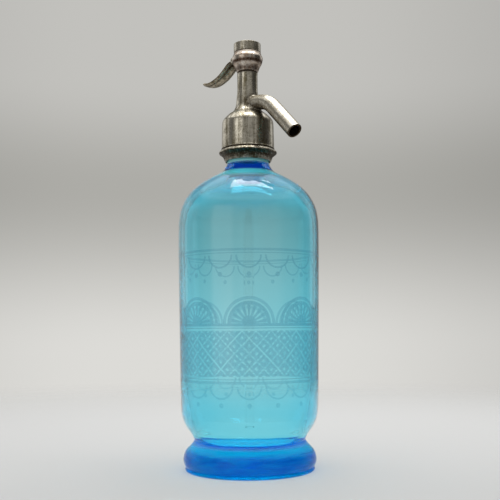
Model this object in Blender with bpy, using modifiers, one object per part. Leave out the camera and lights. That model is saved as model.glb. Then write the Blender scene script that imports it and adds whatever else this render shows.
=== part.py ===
"""Soda siphon: a mould-blown glass bottle on a rolled foot, with a cast metal head.

A two-piece collar grips the bottle under its lip and screws into the skirt of the head. The head
carries the spout, and on top of its column a round housing in which the lever turns on a screw.
Pressing the lever's outer arm lifts the valve rod against its spring: the rubber washer leaves
its seat, and the gas drives the water up the dip tube and out of the spout.

Origin: centre of the foot, on the surface that the bottle stands on. +Z is up, and the spout
points along +X with the lever opposite it. Units are metres.
"""
import math

import bmesh
import bpy
from mathutils import Matrix, Vector

MM = 0.001

# Fits between pieces
GAP = 0.3 * MM
PIN_CLEARANCE = 0.15 * MM
OVERRUN = 2.0 * MM
MERGE = 0.01 * MM

# Faces round each kind of turned piece
BOTTLE_STEPS = 40
HEAD_STEPS = 32
SMALL_STEPS = 24

# Bottle: side, shoulder and neck
BODY_RADIUS = 48.7 * MM
SIDE_TAPER = 1.8 * MM
HEEL_HEIGHT = 48.0 * MM
WIDEST_HEIGHT = 152.0 * MM
SHOULDER_HEIGHT = 162.0 * MM
NECK_HEIGHT = 208.0 * MM
NECK_ROOT_RADIUS = 15.3 * MM
NECK_RADIUS = 13.6 * MM
NECK_LENGTH = 27.0 * MM
NECK_FLARE_LENGTH = 8.0 * MM
LIP_RADIUS = 16.0 * MM
LIP_HEIGHT = 6.0 * MM
LIP_ROUND = 1.0 * MM
GLASS_WALL = 4.5 * MM
BORE_RADIUS = 10.0 * MM
SHOULDER_SHARES = ((1.0, 0.0), (0.99, 0.17), (0.93, 0.37), (0.75, 0.585), (0.45, 0.755),
                   (0.12, 0.89), (0.0, 1.0))

# Bottle: waist, rolled foot and punt
WAIST_RADIUS = 37.5 * MM
WAIST_HEIGHT = 20.0 * MM
FOOT_RADIUS = 45.1 * MM
RIM_RADIUS = 43.8 * MM
RIM_HEIGHT = 1.6 * MM
RIM_ROUND = 0.5 * MM
STANDING_WIDTH = 7.0 * MM
PUNT_DEPTH = 5.0 * MM
FLOOR_HEIGHT = 24.0 * MM
COVE_SHARES = ((1.0, 1.0), (0.94, 0.62), (0.66, 0.357), (0.22, 0.15), (0.0, 0.0))
ROLL_SHARES = ((0.0, 1.0), (0.3, 0.83), (0.8, 0.61), (1.0, 0.33), (0.88, 0.11), (0.67, 0.0))
FLOOR_SHARES = ((0.0, 0.0), (0.66, 0.03), (0.82, 0.13), (0.93, 0.36), (0.98, 0.62))

# Dip tube
TUBE_RADIUS = 3.5 * MM
TUBE_WALL = 1.1 * MM
TUBE_FLOOR_CLEARANCE = 4.0 * MM
TUBE_FLANGE_OVERHANG = 2.4 * MM
TUBE_FLANGE_HEIGHT = 1.3 * MM
TUBE_GASKET_HEIGHT = 1.8 * MM
TUBE_NUT_HEIGHT = 3.0 * MM
NUT_SLOT_WIDTH = 1.6 * MM
NUT_SLOT_DEPTH = 1.0 * MM

# Neck gasket and two-piece collar
GASKET_HEIGHT = 2.0 * MM
GASKET_BORE_CLEARANCE = 0.5 * MM
COLLAR_DROP = 24.0 * MM
COLLAR_FLARE = 1.6 * MM
COLLAR_FLARE_HEIGHT = 5.5 * MM
HUB_LIP = 0.9 * MM
HUB_TAPER = 0.7 * MM
HUB_HEIGHT = 2.9 * MM
FLANGE_OVERHANG = 2.2 * MM
FLANGE_HEIGHT = 8.1 * MM
FLANGE_EDGE = 1.5 * MM
FLANGE_ROUND = 0.6 * MM
COLLAR_SPLIT_ANGLE = math.radians(12)

# Head: skirt, dome and column
LIP_CLEARANCE = 0.9 * MM
SKIRT_WALL = 1.3 * MM
SKIRT_FLARE = 0.25 * MM
BEAD_OVERHANG = 1.0 * MM
BEAD_HEIGHT = 1.5 * MM
DOME_DROP = 1.1 * MM
DOME_HEIGHT = 26.5 * MM
COLUMN_RADIUS = 7.25 * MM
COLUMN_LENGTH = 11.9 * MM
DOME_SHARES = ((0.0, 1.0), (0.06, 0.74), (0.12, 0.54), (0.3, 0.4), (0.66, 0.283), (0.95, 0.14), (1.0, 0.0))
SEAT_BORE_RADIUS = 8.0 * MM
VALVE_BORE_RADIUS = 5.2 * MM
VALVE_BORE_LENGTH = 12.1 * MM
PARTITION = 2.0 * MM
UPPER_BORE_RADIUS = 5.0 * MM

# Spout
SPOUT_RADIUS = 5.3 * MM
SPOUT_WALL = 1.15 * MM
SPOUT_RISE = 6.1 * MM
SPOUT_RUN = 5.9 * MM
SPOUT_BEND_RADIUS = 21.6 * MM
SPOUT_ANGLE = math.radians(45)
SPOUT_LENGTH = 29.1 * MM
SPOUT_BEND_STEPS = 8
SPOUT_HOLE_SINK = 1.2 * MM

# Valve
SEAT_HEIGHT = 2.4 * MM
NOZZLE_HEIGHT = 1.1 * MM
NOZZLE_WALL = 1.0 * MM
ORIFICE_RADIUS = 2.4 * MM
WASHER_OVERHANG = 0.4 * MM
WASHER_HEIGHT = 2.0 * MM
CUP_WALL = 0.6 * MM
CUP_SKIRT = 1.2 * MM
CUP_HEIGHT = 1.5 * MM
ROD_RADIUS = 1.6 * MM
ROD_FOOT_RADIUS = 3.2 * MM
ROD_FOOT_HEIGHT = 1.2 * MM
ROD_TIP = 1.1 * MM
SCREW_SHANK_RADIUS = 0.9 * MM
SCREW_HEAD_RADIUS = 1.5 * MM
SCREW_HEAD_HEIGHT = 1.2 * MM
PACKING_HEIGHT = 2.5 * MM
PACKING_NUT_HEIGHT = 4.0 * MM
CROSSHEAD_RADIUS = 4.3 * MM
CROSSHEAD_HEIGHT = 1.5 * MM
LOCK_NUT_RADIUS = 2.8 * MM
LOCK_NUT_HEIGHT = 1.7 * MM

# Lever housing, washers and cap
SEAM_WASHER_HEIGHT = 0.5 * MM
SEAM_WASHER_INSET = 0.35 * MM
HOUSING_FOOT_RADIUS = 7.5 * MM
HOUSING_HEIGHT = 13.2 * MM
BULB_RADIUS = 10.95 * MM
BULB_SHARES = ((0.63, 1.0), (0.75, 0.89), (0.97, 0.77), (1.0, 0.65), (0.78, 0.44), (0.42, 0.27), (0.0, 0.0))
HOUSING_SPIGOT_LENGTH = 6.5 * MM
ROD_PASSAGE_RADIUS = 3.0 * MM
CHAMBER_RADIUS = 8.4 * MM
CHAMBER_FLOOR = 3.0 * MM
CHAMBER_CONE = 2.6 * MM
CAP_THREAD_RADIUS = 7.2 * MM
CAP_THREAD_LENGTH = 2.0 * MM
CAP_RADIUS = 9.6 * MM
CAP_HEIGHT = 6.0 * MM
CAP_ROUND = 0.5 * MM
CAP_BORE_RADIUS = 5.3 * MM
CAP_CROWN = 1.7 * MM
CAP_BOSS_RADIUS = 4.2 * MM
CAP_BOSS_HEIGHT = 2.1 * MM
CAP_BOSS_ROUND = 0.7 * MM

# Return spring
SPRING_RADIUS = 3.6 * MM
WIRE_RADIUS = 0.4 * MM
SPRING_TURNS = 5
SPRING_STEPS = 10

# Lever and its screw
PIVOT_OFFSET = 8.6 * MM
PIVOT_RISE = 9.5 * MM
PIN_RADIUS = 1.1 * MM
PIN_HEAD_RADIUS = 1.9 * MM
PIN_HEAD_HEIGHT = 0.9 * MM
PIN_END_RECESS = 0.4 * MM
SPOT_FACE_DEPTH = 0.9 * MM
PIN_SLOT_WIDTH = 0.6 * MM
PIN_SLOT_DEPTH = 0.4 * MM
HUB_RADIUS = 2.2 * MM
SLOT_WIDTH = 7.0 * MM
SLOT_DEPTH = 3.6 * MM
NOSE_RADIUS = 1.1 * MM
NOSE_INSET = 0.2 * MM
NOSE_DROP = 2.0 * MM
ARM_NECK_HEIGHT = 2.8 * MM
ARM_DIP = 0.25 * MM
LEVER_REACH = 41.0 * MM
LEVER_DROP = 9.6 * MM
LEVER_WIDTH = 11.0 * MM
LEVER_THICKNESS = 3.4 * MM
LEVER_ROOT_SHARE = 0.095
ARM_END_SHARE = 0.152
LEVER_TAPER_SHARE = 0.7
LEVER_TIP_SHARE = 0.22
LEVER_THIN_SHARE = 0.42
RIB_WIDTH = 6.0 * MM
RIB_DEPTH = 1.5 * MM
RIB_ROOT_SHARE = 0.105
RIB_TAPER_SHARE = 0.19
RIB_END_SHARE = 0.48
LEVER_PATH_SHARES = ((0.0, 0.0), (0.1, 0.0), (0.2, 0.1), (0.375, 0.55), (0.52, 0.82),
                     (0.72, 1.0), (0.89, 0.96), (1.0, 0.75))
BLADE_STATIONS = 18
BLADE_SIDES = 14
TIP_POWER = 2.2
EDGE_POWER = 0.8
HUB_SIDE_ANGLE = math.radians(55)
HUB_TOP_ANGLE = math.radians(15)
HUB_FOOT_ANGLE = math.radians(-70)

# Heights, stacked from the foot up
mouth_z = NECK_HEIGHT + NECK_LENGTH
gasket_z = mouth_z + GAP
ceiling_z = gasket_z + GASKET_HEIGHT + GAP
collar_z = mouth_z - COLLAR_DROP
flange_z = collar_z + FLANGE_HEIGHT
skirt_z = flange_z + GAP
dome_z = ceiling_z - DOME_DROP
column_z = dome_z + DOME_HEIGHT + COLUMN_LENGTH

# What the seat bore holds, from the bottle's mouth up: the dip tube's nut, gasket and flange, then the seat
tube_nut_z = mouth_z + 2 * GAP
tube_gasket_z = tube_nut_z + TUBE_NUT_HEIGHT + GAP
tube_flange_z = tube_gasket_z + TUBE_GASKET_HEIGHT + GAP
tube_top_z = tube_flange_z + TUBE_FLANGE_HEIGHT
seat_z = tube_top_z + GAP
seat_shoulder_z = seat_z + SEAT_HEIGHT + GAP
partition_z = seat_shoulder_z + VALVE_BORE_LENGTH
packing_z = partition_z + PARTITION + GAP
packing_nut_z = packing_z + PACKING_HEIGHT + GAP
spout_z = seat_shoulder_z + SPOUT_RISE

# The valve, closed
washer_z = seat_z + SEAT_HEIGHT + NOZZLE_HEIGHT + GAP
cup_z = washer_z + WASHER_HEIGHT + GAP
rod_z = cup_z + CUP_HEIGHT + GAP

# The housing, the cap and the lever
washer_seam_z = column_z + GAP
housing_z = washer_seam_z + SEAM_WASHER_HEIGHT + GAP
housing_top_z = housing_z + HOUSING_HEIGHT
cap_washer_z = housing_top_z + GAP
cap_z = cap_washer_z + SEAM_WASHER_HEIGHT + GAP
cap_top_z = cap_z + CAP_HEIGHT
spring_top_z = cap_top_z - CAP_CROWN - GAP
thread_z = housing_top_z - CAP_THREAD_LENGTH
pivot = Vector((-PIVOT_OFFSET, 0.0, housing_z + PIVOT_RISE))
nose_x = PIVOT_OFFSET - NOSE_INSET
crosshead_z = pivot.z - NOSE_DROP + NOSE_RADIUS + GAP
lock_nut_z = crosshead_z + CROSSHEAD_HEIGHT + GAP
rod_top_z = lock_nut_z + LOCK_NUT_HEIGHT + ROD_TIP
spring_z = lock_nut_z

# Radii that follow from their neighbours
body_inner = BODY_RADIUS - GLASS_WALL
heel_radius = BODY_RADIUS - SIDE_TAPER
skirt_inner = LIP_RADIUS + LIP_CLEARANCE
skirt_outer = skirt_inner + SKIRT_WALL
sleeve_outer = skirt_inner - GAP
collar_inner = NECK_RADIUS + GAP
flange_outer = skirt_outer + FLANGE_OVERHANG
tube_bore = TUBE_RADIUS - TUBE_WALL
seat_outer = SEAT_BORE_RADIUS - GAP
nozzle_outer = ORIFICE_RADIUS + NOZZLE_WALL
washer_outer = nozzle_outer + WASHER_OVERHANG
cup_outer = washer_outer + GAP + CUP_WALL
rod_hole = ROD_RADIUS + GAP
spigot_outer = UPPER_BORE_RADIUS - GAP
cap_spigot = CAP_THREAD_RADIUS - GAP
arm_width = SLOT_WIDTH - 2 * GAP
pin_hole = PIN_RADIUS + PIN_CLEARANCE


def clear_scene():
    """Removes what the new file came with."""
    for ob in list(bpy.data.objects):
        bpy.data.objects.remove(ob, do_unlink=True)


def collection(name):
    made = bpy.data.collections.new(name)
    bpy.context.scene.collection.children.link(made)
    return made


def finish(name, colour, roughness, metallic, transmission=0.0):
    """A plain Principled material: a finish by name."""
    material = bpy.data.materials.new(name)
    material.use_nodes = True
    shader = material.node_tree.nodes["Principled BSDF"]
    shader.inputs["Base Color"].default_value = (*colour, 1.0)
    shader.inputs["Roughness"].default_value = roughness
    shader.inputs["Metallic"].default_value = metallic
    shader.inputs["Transmission Weight"].default_value = transmission
    material.diffuse_color = (*colour, 1.0)
    return material


def between(p, q, r, s, t):
    """Where a Catmull-Rom curve is, at a share t of the way from q to r."""
    bend = 2 * p - 5 * q + 4 * r - s
    twist = 3 * (q - r) + s - p
    return 0.5 * (2 * q + (r - p) * t + bend * t ** 2 + twist * t ** 3)


def flow(points, steps=2):
    """A smooth curve through the points, with so many steps to a span."""
    ends = [points[0], *points, points[-1]]
    curve = []
    for around in zip(ends, ends[1:], ends[2:], ends[3:]):
        for k in range(steps):
            curve.append(tuple(between(*four, k / steps) for four in zip(*around)))
    return [*curve, tuple(points[-1])]


def spread(shares, low, high):
    """Turns shares of a radius and of a height into places between two corners."""
    (r0, z0), (r1, z1) = low, high
    return [(r0 + (r1 - r0) * r, z0 + (z1 - z0) * z) for r, z in shares]


def arc(centre, radius, start, end, steps):
    """Points on an arc in the XZ plane, from one angle to another."""
    turns = [start + (end - start) * k / steps for k in range(steps + 1)]
    return [(centre[0] + radius * math.cos(a), centre[1] + radius * math.sin(a)) for a in turns]


def ring(outer, inner, low, high):
    """The outline of a plain ring: down its outer side and up its bore."""
    return [(outer, high), (outer, low), (inner, low), (inner, high)]


def add(name, mesh, place, material, group, parent=None):
    ob = bpy.data.objects.new(name, mesh)
    if material:
        mesh.materials.append(material)
    group.objects.link(ob)
    ob.parent = parent
    ob.location = Vector(place) - (parent.location if parent else Vector())
    return ob


def turned(name, outline, material, group, steps=HEAD_STEPS, closed=True, parent=None):
    """Turns an outline of (radius, height) about the Z axis. The origin is at the outline's foot."""
    foot = min(z for r, z in outline)
    mesh = bpy.data.meshes.new(name)
    count = len(outline)
    edges = [(k, k + 1) for k in range(count - 1)] + ([(count - 1, 0)] if closed else [])
    mesh.from_pydata([(r, 0.0, z - foot) for r, z in outline], edges, [])
    ob = add(name, mesh, (0.0, 0.0, foot), material, group, parent)
    turn = ob.modifiers.new("turn", "SCREW")
    turn.axis = "Z"
    turn.steps = steps
    turn.render_steps = steps
    turn.use_merge_vertices = True
    turn.merge_threshold = MERGE
    return ob


def solid(name, build, place, material, group, parent=None):
    """A mesh object from a function that fills a bmesh."""
    bm = bmesh.new()
    build(bm)
    bmesh.ops.recalc_face_normals(bm, faces=bm.faces)
    mesh = bpy.data.meshes.new(name)
    bm.to_mesh(mesh)
    bm.free()
    mesh.shade_smooth()
    mesh.set_sharp_from_angle(angle=math.radians(35))
    return add(name, mesh, place, material, group, parent)


def block(name, low, high, group):
    """A box between two corners."""
    size = Vector(high) - Vector(low)
    middle = (Vector(high) + Vector(low)) / 2
    return solid(name, lambda bm: bmesh.ops.create_cube(bm, size=1, matrix=Matrix.Diagonal((*size, 1))),
                 middle, None, group)


def rod_along(name, axis, radius, start, end, group, material=None):
    """A cylinder along X or Y, from one point to another."""
    start, end = Vector(start), Vector(end)
    turn = Matrix.Rotation(math.pi / 2, 4, {"X": "Y", "Y": "X"}[axis])
    return solid(name, lambda bm: bmesh.ops.create_cone(
        bm, cap_ends=True, segments=SMALL_STEPS, radius1=radius, radius2=radius,
        depth=(end - start).length, matrix=turn), (start + end) / 2, material, group)


def prism(outline, width):
    """Fills a bmesh with an outline of (x, z), as thick as the width along Y."""
    def build(bm):
        near = [bm.verts.new((x, -width / 2, z)) for x, z in outline]
        face = bm.faces.new(near)
        made = bmesh.ops.extrude_face_region(bm, geom=[face])["geom"]
        moved = [v for v in made if isinstance(v, bmesh.types.BMVert)]
        bmesh.ops.translate(bm, verts=moved, vec=(0.0, width, 0.0))
    return build


def tube(name, points, radius, sides, material, group):
    """A round bar along points, as a closed mesh."""
    curve = bpy.data.curves.new(name, "CURVE")
    curve.dimensions = "3D"
    curve.bevel_depth = radius
    curve.bevel_resolution = sides
    curve.use_fill_caps = True
    spline = curve.splines.new("POLY")
    spline.points.add(len(points) - 1)
    for point, place in zip(spline.points, points):
        point.co = (*place, 1.0)
    guide = bpy.data.objects.new(name, curve)
    group.objects.link(guide)
    bpy.context.view_layer.update()
    mesh = bpy.data.meshes.new_from_object(guide.evaluated_get(bpy.context.evaluated_depsgraph_get()))
    bm = bmesh.new()
    bm.from_mesh(mesh)
    bmesh.ops.remove_doubles(bm, verts=bm.verts, dist=MERGE)
    bmesh.ops.recalc_face_normals(bm, faces=bm.faces)
    bm.to_mesh(mesh)
    bm.free()
    mesh.materials.clear()
    mesh.shade_smooth()
    mesh.set_sharp_from_angle(angle=math.radians(35))
    place = guide.matrix_world.copy()
    bpy.data.objects.remove(guide)
    bpy.data.curves.remove(curve)
    ob = bpy.data.objects.new(name, mesh)
    if material:
        mesh.materials.append(material)
    ob.matrix_world = place
    group.objects.link(ob)
    return ob


def combine(ob, tool, operation):
    """Cuts a piece by another, or joins them."""
    step = ob.modifiers.new(operation.lower(), "BOOLEAN")
    step.operation = operation
    step.solver = "EXACT"
    step.object = tool
    tool.hide_render = True
    tool.display_type = "WIRE"


def make_bottle(parts, glass):
    """The bottle, from the middle of its inner floor up the inside and down the outside."""
    shoulder = spread(SHOULDER_SHARES, (NECK_ROOT_RADIUS, SHOULDER_HEIGHT), (BODY_RADIUS, NECK_HEIGHT))
    inner_neck = NECK_HEIGHT - GLASS_WALL
    inner_shoulder = spread(SHOULDER_SHARES, (BORE_RADIUS, SHOULDER_HEIGHT), (body_inner, inner_neck))
    floor = spread(FLOOR_SHARES, (0.0, FLOOR_HEIGHT), (heel_radius - GLASS_WALL, HEEL_HEIGHT))
    cove = spread(COVE_SHARES, (WAIST_RADIUS, WAIST_HEIGHT), (heel_radius, HEEL_HEIGHT))
    roll = spread(ROLL_SHARES, (WAIST_RADIUS, RIM_HEIGHT), (FOOT_RADIUS, WAIST_HEIGHT))
    neck_top = mouth_z - LIP_HEIGHT
    outline = [
        *flow(floor),
        (heel_radius - GLASS_WALL, HEEL_HEIGHT),
        (body_inner, WIDEST_HEIGHT),
        *reversed(flow(inner_shoulder[::-1])),
        (BORE_RADIUS, mouth_z - LIP_ROUND),
        (BORE_RADIUS + LIP_ROUND, mouth_z),
        (LIP_RADIUS - LIP_ROUND, mouth_z),
        (LIP_RADIUS, mouth_z - LIP_ROUND),
        (LIP_RADIUS, neck_top),
        (NECK_RADIUS, neck_top),
        (NECK_RADIUS, NECK_HEIGHT + NECK_FLARE_LENGTH),
        *reversed(flow(shoulder)),
        (BODY_RADIUS, WIDEST_HEIGHT),
        *flow(cove),
        *flow(roll)[1:],
        (RIM_RADIUS, RIM_HEIGHT - RIM_ROUND),
        (RIM_RADIUS, RIM_ROUND),
        (RIM_RADIUS - RIM_ROUND, 0.0),
        (RIM_RADIUS - STANDING_WIDTH, 0.0),
        *flow([(RIM_RADIUS - STANDING_WIDTH - PUNT_DEPTH / 2, PUNT_DEPTH / 2), (0.0, PUNT_DEPTH)], 3),
    ]
    turned("bottle", outline, glass, parts, BOTTLE_STEPS, closed=False)


def make_dip_tube(parts, tools, glass, rubber, brass):
    """The glass tube, hung by its flange on a gasket and a slotted ring nut."""
    low = FLOOR_HEIGHT + TUBE_FLOOR_CLEARANCE
    flange = TUBE_RADIUS + TUBE_FLANGE_OVERHANG
    turned("dip_tube", [(flange, tube_top_z), (flange, tube_flange_z), (TUBE_RADIUS, tube_flange_z),
                        (TUBE_RADIUS, low), (tube_bore, low), (tube_bore, tube_top_z)],
           glass, parts, SMALL_STEPS)
    bore = TUBE_RADIUS + GAP
    turned("tube_gasket", ring(seat_outer, bore, tube_gasket_z, tube_gasket_z + TUBE_GASKET_HEIGHT),
           rubber, parts, SMALL_STEPS)
    nut = turned("tube_nut", ring(seat_outer, bore, tube_nut_z, tube_nut_z + TUBE_NUT_HEIGHT),
                 brass, parts, SMALL_STEPS)
    wide = SEAT_BORE_RADIUS + OVERRUN
    combine(nut, block("nut_slot", (-wide, -NUT_SLOT_WIDTH / 2, tube_nut_z - OVERRUN),
                       (wide, NUT_SLOT_WIDTH / 2, tube_nut_z + NUT_SLOT_DEPTH), tools), "DIFFERENCE")


def make_collar(parts, tools, metal):
    """The two half-collars, split on a plane through the bottle's axis, and the gasket above."""
    hub = collar_inner + COLLAR_FLARE + HUB_LIP
    hub_top = collar_z + HUB_HEIGHT
    edge = flange_z - FLANGE_EDGE - FLANGE_ROUND
    top = mouth_z - LIP_HEIGHT - GAP
    outline = [
        (sleeve_outer, top),
        (sleeve_outer, flange_z),
        (flange_outer - FLANGE_ROUND, flange_z),
        (flange_outer, flange_z - FLANGE_ROUND),
        (flange_outer, edge),
        ((flange_outer + hub + HUB_TAPER) / 2, (edge + hub_top) / 2),
        (hub + HUB_TAPER, hub_top),
        (hub, collar_z),
        (collar_inner + COLLAR_FLARE, collar_z),
        (collar_inner, collar_z + COLLAR_FLARE_HEIGHT),
        (collar_inner, top),
    ]
    reach = flange_outer + OVERRUN
    for name, side in (("collar_half_left", 1), ("collar_half_right", -1)):
        half = turned(name, outline, metal, parts)
        low_y, high_y = sorted((side * GAP / 2, -side * reach))
        cutter = block(name + "_split", (-reach, low_y, collar_z - OVERRUN),
                       (reach, high_y, top + OVERRUN), tools)
        cutter.location = Matrix.Rotation(COLLAR_SPLIT_ANGLE, 3, "Z") @ cutter.location
        cutter.rotation_euler.z = COLLAR_SPLIT_ANGLE
        combine(half, cutter, "DIFFERENCE")


def make_neck_gasket(parts, rubber):
    turned("neck_gasket", ring(LIP_RADIUS - GAP, BORE_RADIUS + GASKET_BORE_CLEARANCE,
                               gasket_z, gasket_z + GASKET_HEIGHT), rubber, parts)


def make_head(parts, tools, metal):
    """Skirt, dome and column in one casting, with the bores for the valve and a hole for the spout."""
    bead = skirt_outer + BEAD_OVERHANG
    rim = skirt_outer + SKIRT_FLARE
    upper_bore = partition_z + PARTITION
    outline = [
        *flow([(COLUMN_RADIUS, column_z), *spread(DOME_SHARES, (COLUMN_RADIUS, dome_z),
                                                  (skirt_outer, dome_z + DOME_HEIGHT))]),
        (rim, skirt_z + BEAD_HEIGHT + BEAD_OVERHANG),
        (bead, skirt_z + BEAD_HEIGHT - BEAD_OVERHANG / 2),
        (bead, skirt_z + BEAD_OVERHANG / 4),
        (bead - BEAD_OVERHANG / 4, skirt_z),
        (skirt_inner, skirt_z),
        (skirt_inner, ceiling_z),
        (SEAT_BORE_RADIUS, ceiling_z),
        (SEAT_BORE_RADIUS, seat_shoulder_z),
        (VALVE_BORE_RADIUS, seat_shoulder_z),
        (VALVE_BORE_RADIUS, partition_z),
        (rod_hole, partition_z),
        (rod_hole, upper_bore),
        (UPPER_BORE_RADIUS, upper_bore),
        (UPPER_BORE_RADIUS, column_z),
    ]
    head = turned("head_body", outline, metal, parts)
    hole_x = VALVE_BORE_RADIUS - SPOUT_HOLE_SINK
    hole = rod_along("spout_hole", "X", SPOUT_RADIUS + GAP, (hole_x, 0.0, spout_z),
                     (VALVE_BORE_RADIUS + skirt_outer, 0.0, spout_z), tools)
    combine(head, hole, "DIFFERENCE")


def spout_path(lead, tail):
    """The spout's centre line: out of the column, round the bend, and down to the mouth."""
    bend_x = VALVE_BORE_RADIUS + GAP + SPOUT_RUN
    bend = arc((bend_x, spout_z - SPOUT_BEND_RADIUS), SPOUT_BEND_RADIUS, math.pi / 2,
               math.pi / 2 - SPOUT_ANGLE, SPOUT_BEND_STEPS)
    reach = SPOUT_LENGTH + tail
    end = (bend[-1][0] + reach * math.cos(SPOUT_ANGLE), bend[-1][1] - reach * math.sin(SPOUT_ANGLE))
    start = (VALVE_BORE_RADIUS + GAP - lead, spout_z)
    return [(x, 0.0, z) for x, z in (start, *bend, end)]


def make_spout(parts, tools, metal):
    spout = tube("spout", spout_path(0.0, 0.0), SPOUT_RADIUS, 6, metal, parts)
    bore = tube("spout_bore", spout_path(OVERRUN, OVERRUN), SPOUT_RADIUS - SPOUT_WALL, 6, None, tools)
    combine(spout, bore, "DIFFERENCE")


def make_valve_seat(parts, ceramic):
    shoulder = seat_z + SEAT_HEIGHT
    top = shoulder + NOZZLE_HEIGHT
    turned("valve_seat", [(nozzle_outer, top), (nozzle_outer, shoulder), (seat_outer, shoulder),
                          (seat_outer, seat_z), (ORIFICE_RADIUS, seat_z), (ORIFICE_RADIUS, top)],
           ceramic, parts, SMALL_STEPS)


def make_valve(parts, slide, rubber, brass):
    """What rises with the rod: washer, cup and screw below, crosshead and lock nut above."""
    hole = SCREW_SHANK_RADIUS + GAP
    washer_top = washer_z + WASHER_HEIGHT
    turned("valve_washer", ring(washer_outer, hole, washer_z, washer_top), rubber, parts, SMALL_STEPS,
           parent=slide)
    turned("washer_cup", [(cup_outer, cup_z + CUP_HEIGHT), (cup_outer, washer_top - CUP_SKIRT),
                          (washer_outer + GAP, washer_top - CUP_SKIRT), (washer_outer + GAP, cup_z),
                          (hole, cup_z), (hole, cup_z + CUP_HEIGHT)], brass, parts, SMALL_STEPS, parent=slide)
    head = washer_z - GAP
    turned("washer_screw", [(0.0, cup_z + CUP_HEIGHT), (SCREW_SHANK_RADIUS, cup_z + CUP_HEIGHT),
                            (SCREW_SHANK_RADIUS, head), (SCREW_HEAD_RADIUS, head),
                            (SCREW_HEAD_RADIUS, head - SCREW_HEAD_HEIGHT / 2),
                            (SCREW_HEAD_RADIUS / 2, head - SCREW_HEAD_HEIGHT),
                            (0.0, head - SCREW_HEAD_HEIGHT)], brass, parts, SMALL_STEPS, False, slide)
    foot_top = rod_z + ROD_FOOT_HEIGHT
    turned("valve_rod", [(0.0, rod_top_z), (ROD_RADIUS, rod_top_z), (ROD_RADIUS, foot_top),
                         (ROD_FOOT_RADIUS, foot_top), (ROD_FOOT_RADIUS, rod_z), (0.0, rod_z)],
           brass, parts, SMALL_STEPS, False, slide)
    turned("crosshead", ring(CROSSHEAD_RADIUS, rod_hole, crosshead_z, crosshead_z + CROSSHEAD_HEIGHT),
           brass, parts, SMALL_STEPS, parent=slide)
    turned("lock_nut", ring(LOCK_NUT_RADIUS, rod_hole, lock_nut_z, lock_nut_z + LOCK_NUT_HEIGHT),
           brass, parts, 6, parent=slide)


def make_packing(parts, leather, brass):
    """The packing that keeps the water out of the lever housing, and the nut that presses it."""
    outer = UPPER_BORE_RADIUS - GAP
    turned("rod_packing", ring(outer, rod_hole, packing_z, packing_z + PACKING_HEIGHT),
           leather, parts, SMALL_STEPS)
    turned("packing_nut", ring(outer, rod_hole, packing_nut_z, packing_nut_z + PACKING_NUT_HEIGHT),
           brass, parts, SMALL_STEPS)


def make_housing(parts, tools, metal, leather):
    """The round housing on the column, hollow for the lever's nose, with a slot on the lever's side."""
    turned("seam_washer", ring(COLUMN_RADIUS - SEAM_WASHER_INSET, UPPER_BORE_RADIUS + GAP,
                               washer_seam_z, washer_seam_z + SEAM_WASHER_HEIGHT), leather, parts)
    low = housing_z - HOUSING_SPIGOT_LENGTH
    floor = housing_z + CHAMBER_FLOOR
    outline = [
        *flow(spread(BULB_SHARES, (HOUSING_FOOT_RADIUS, housing_z), (BULB_RADIUS, housing_top_z))),
        (spigot_outer, housing_z),
        (spigot_outer, low),
        (ROD_PASSAGE_RADIUS, low),
        (ROD_PASSAGE_RADIUS, floor),
        (CHAMBER_RADIUS - CHAMBER_CONE, floor),
        (CHAMBER_RADIUS, floor + CHAMBER_CONE),
        (CHAMBER_RADIUS, thread_z - GAP),
        (CAP_THREAD_RADIUS, thread_z),
        (CAP_THREAD_RADIUS, housing_top_z),
    ]
    housing = turned("lever_housing", outline, metal, parts)
    half = SLOT_WIDTH / 2
    slot = block("lever_slot", (-BULB_RADIUS - OVERRUN, -half, pivot.z - SLOT_DEPTH),
                 (-CAP_THREAD_RADIUS + OVERRUN, half, pivot.z + HUB_RADIUS + GAP), tools)
    combine(housing, slot, "DIFFERENCE")
    reach = BULB_RADIUS + OVERRUN
    hole = rod_along("pin_hole", "Y", pin_hole, pivot + Vector((0.0, -reach, 0.0)),
                     pivot + Vector((0.0, reach, 0.0)), tools)
    combine(housing, hole, "DIFFERENCE")
    seat = math.sqrt(BULB_RADIUS ** 2 - PIVOT_OFFSET ** 2)
    face = rod_along("spot_face", "Y", PIN_HEAD_RADIUS + GAP, pivot + Vector((0.0, -reach, 0.0)),
                     pivot + Vector((0.0, SPOT_FACE_DEPTH - seat, 0.0)), tools)
    combine(housing, face, "DIFFERENCE")


def make_lever_screw(parts, tools, metal):
    """The slotted screw on which the lever turns: its head sits in the spot face."""
    seat = math.sqrt(BULB_RADIUS ** 2 - PIVOT_OFFSET ** 2)
    head = SPOT_FACE_DEPTH - seat - GAP
    end = seat - PIN_END_RECESS
    shank = rod_along("lever_screw", "Y", PIN_RADIUS, pivot + Vector((0.0, head - PIN_HEAD_HEIGHT / 2, 0.0)),
                      pivot + Vector((0.0, end, 0.0)), parts, metal)
    cap = rod_along("screw_head", "Y", PIN_HEAD_RADIUS, pivot + Vector((0.0, head - PIN_HEAD_HEIGHT, 0.0)),
                    pivot + Vector((0.0, head, 0.0)), tools)
    combine(shank, cap, "UNION")
    wide = PIN_HEAD_RADIUS + OVERRUN
    slot = block("screw_slot", pivot + Vector((-wide, head - PIN_HEAD_HEIGHT - OVERRUN, -PIN_SLOT_WIDTH / 2)),
                 pivot + Vector((wide, head - PIN_HEAD_HEIGHT + PIN_SLOT_DEPTH, PIN_SLOT_WIDTH / 2)), tools)
    combine(shank, slot, "DIFFERENCE")


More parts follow.
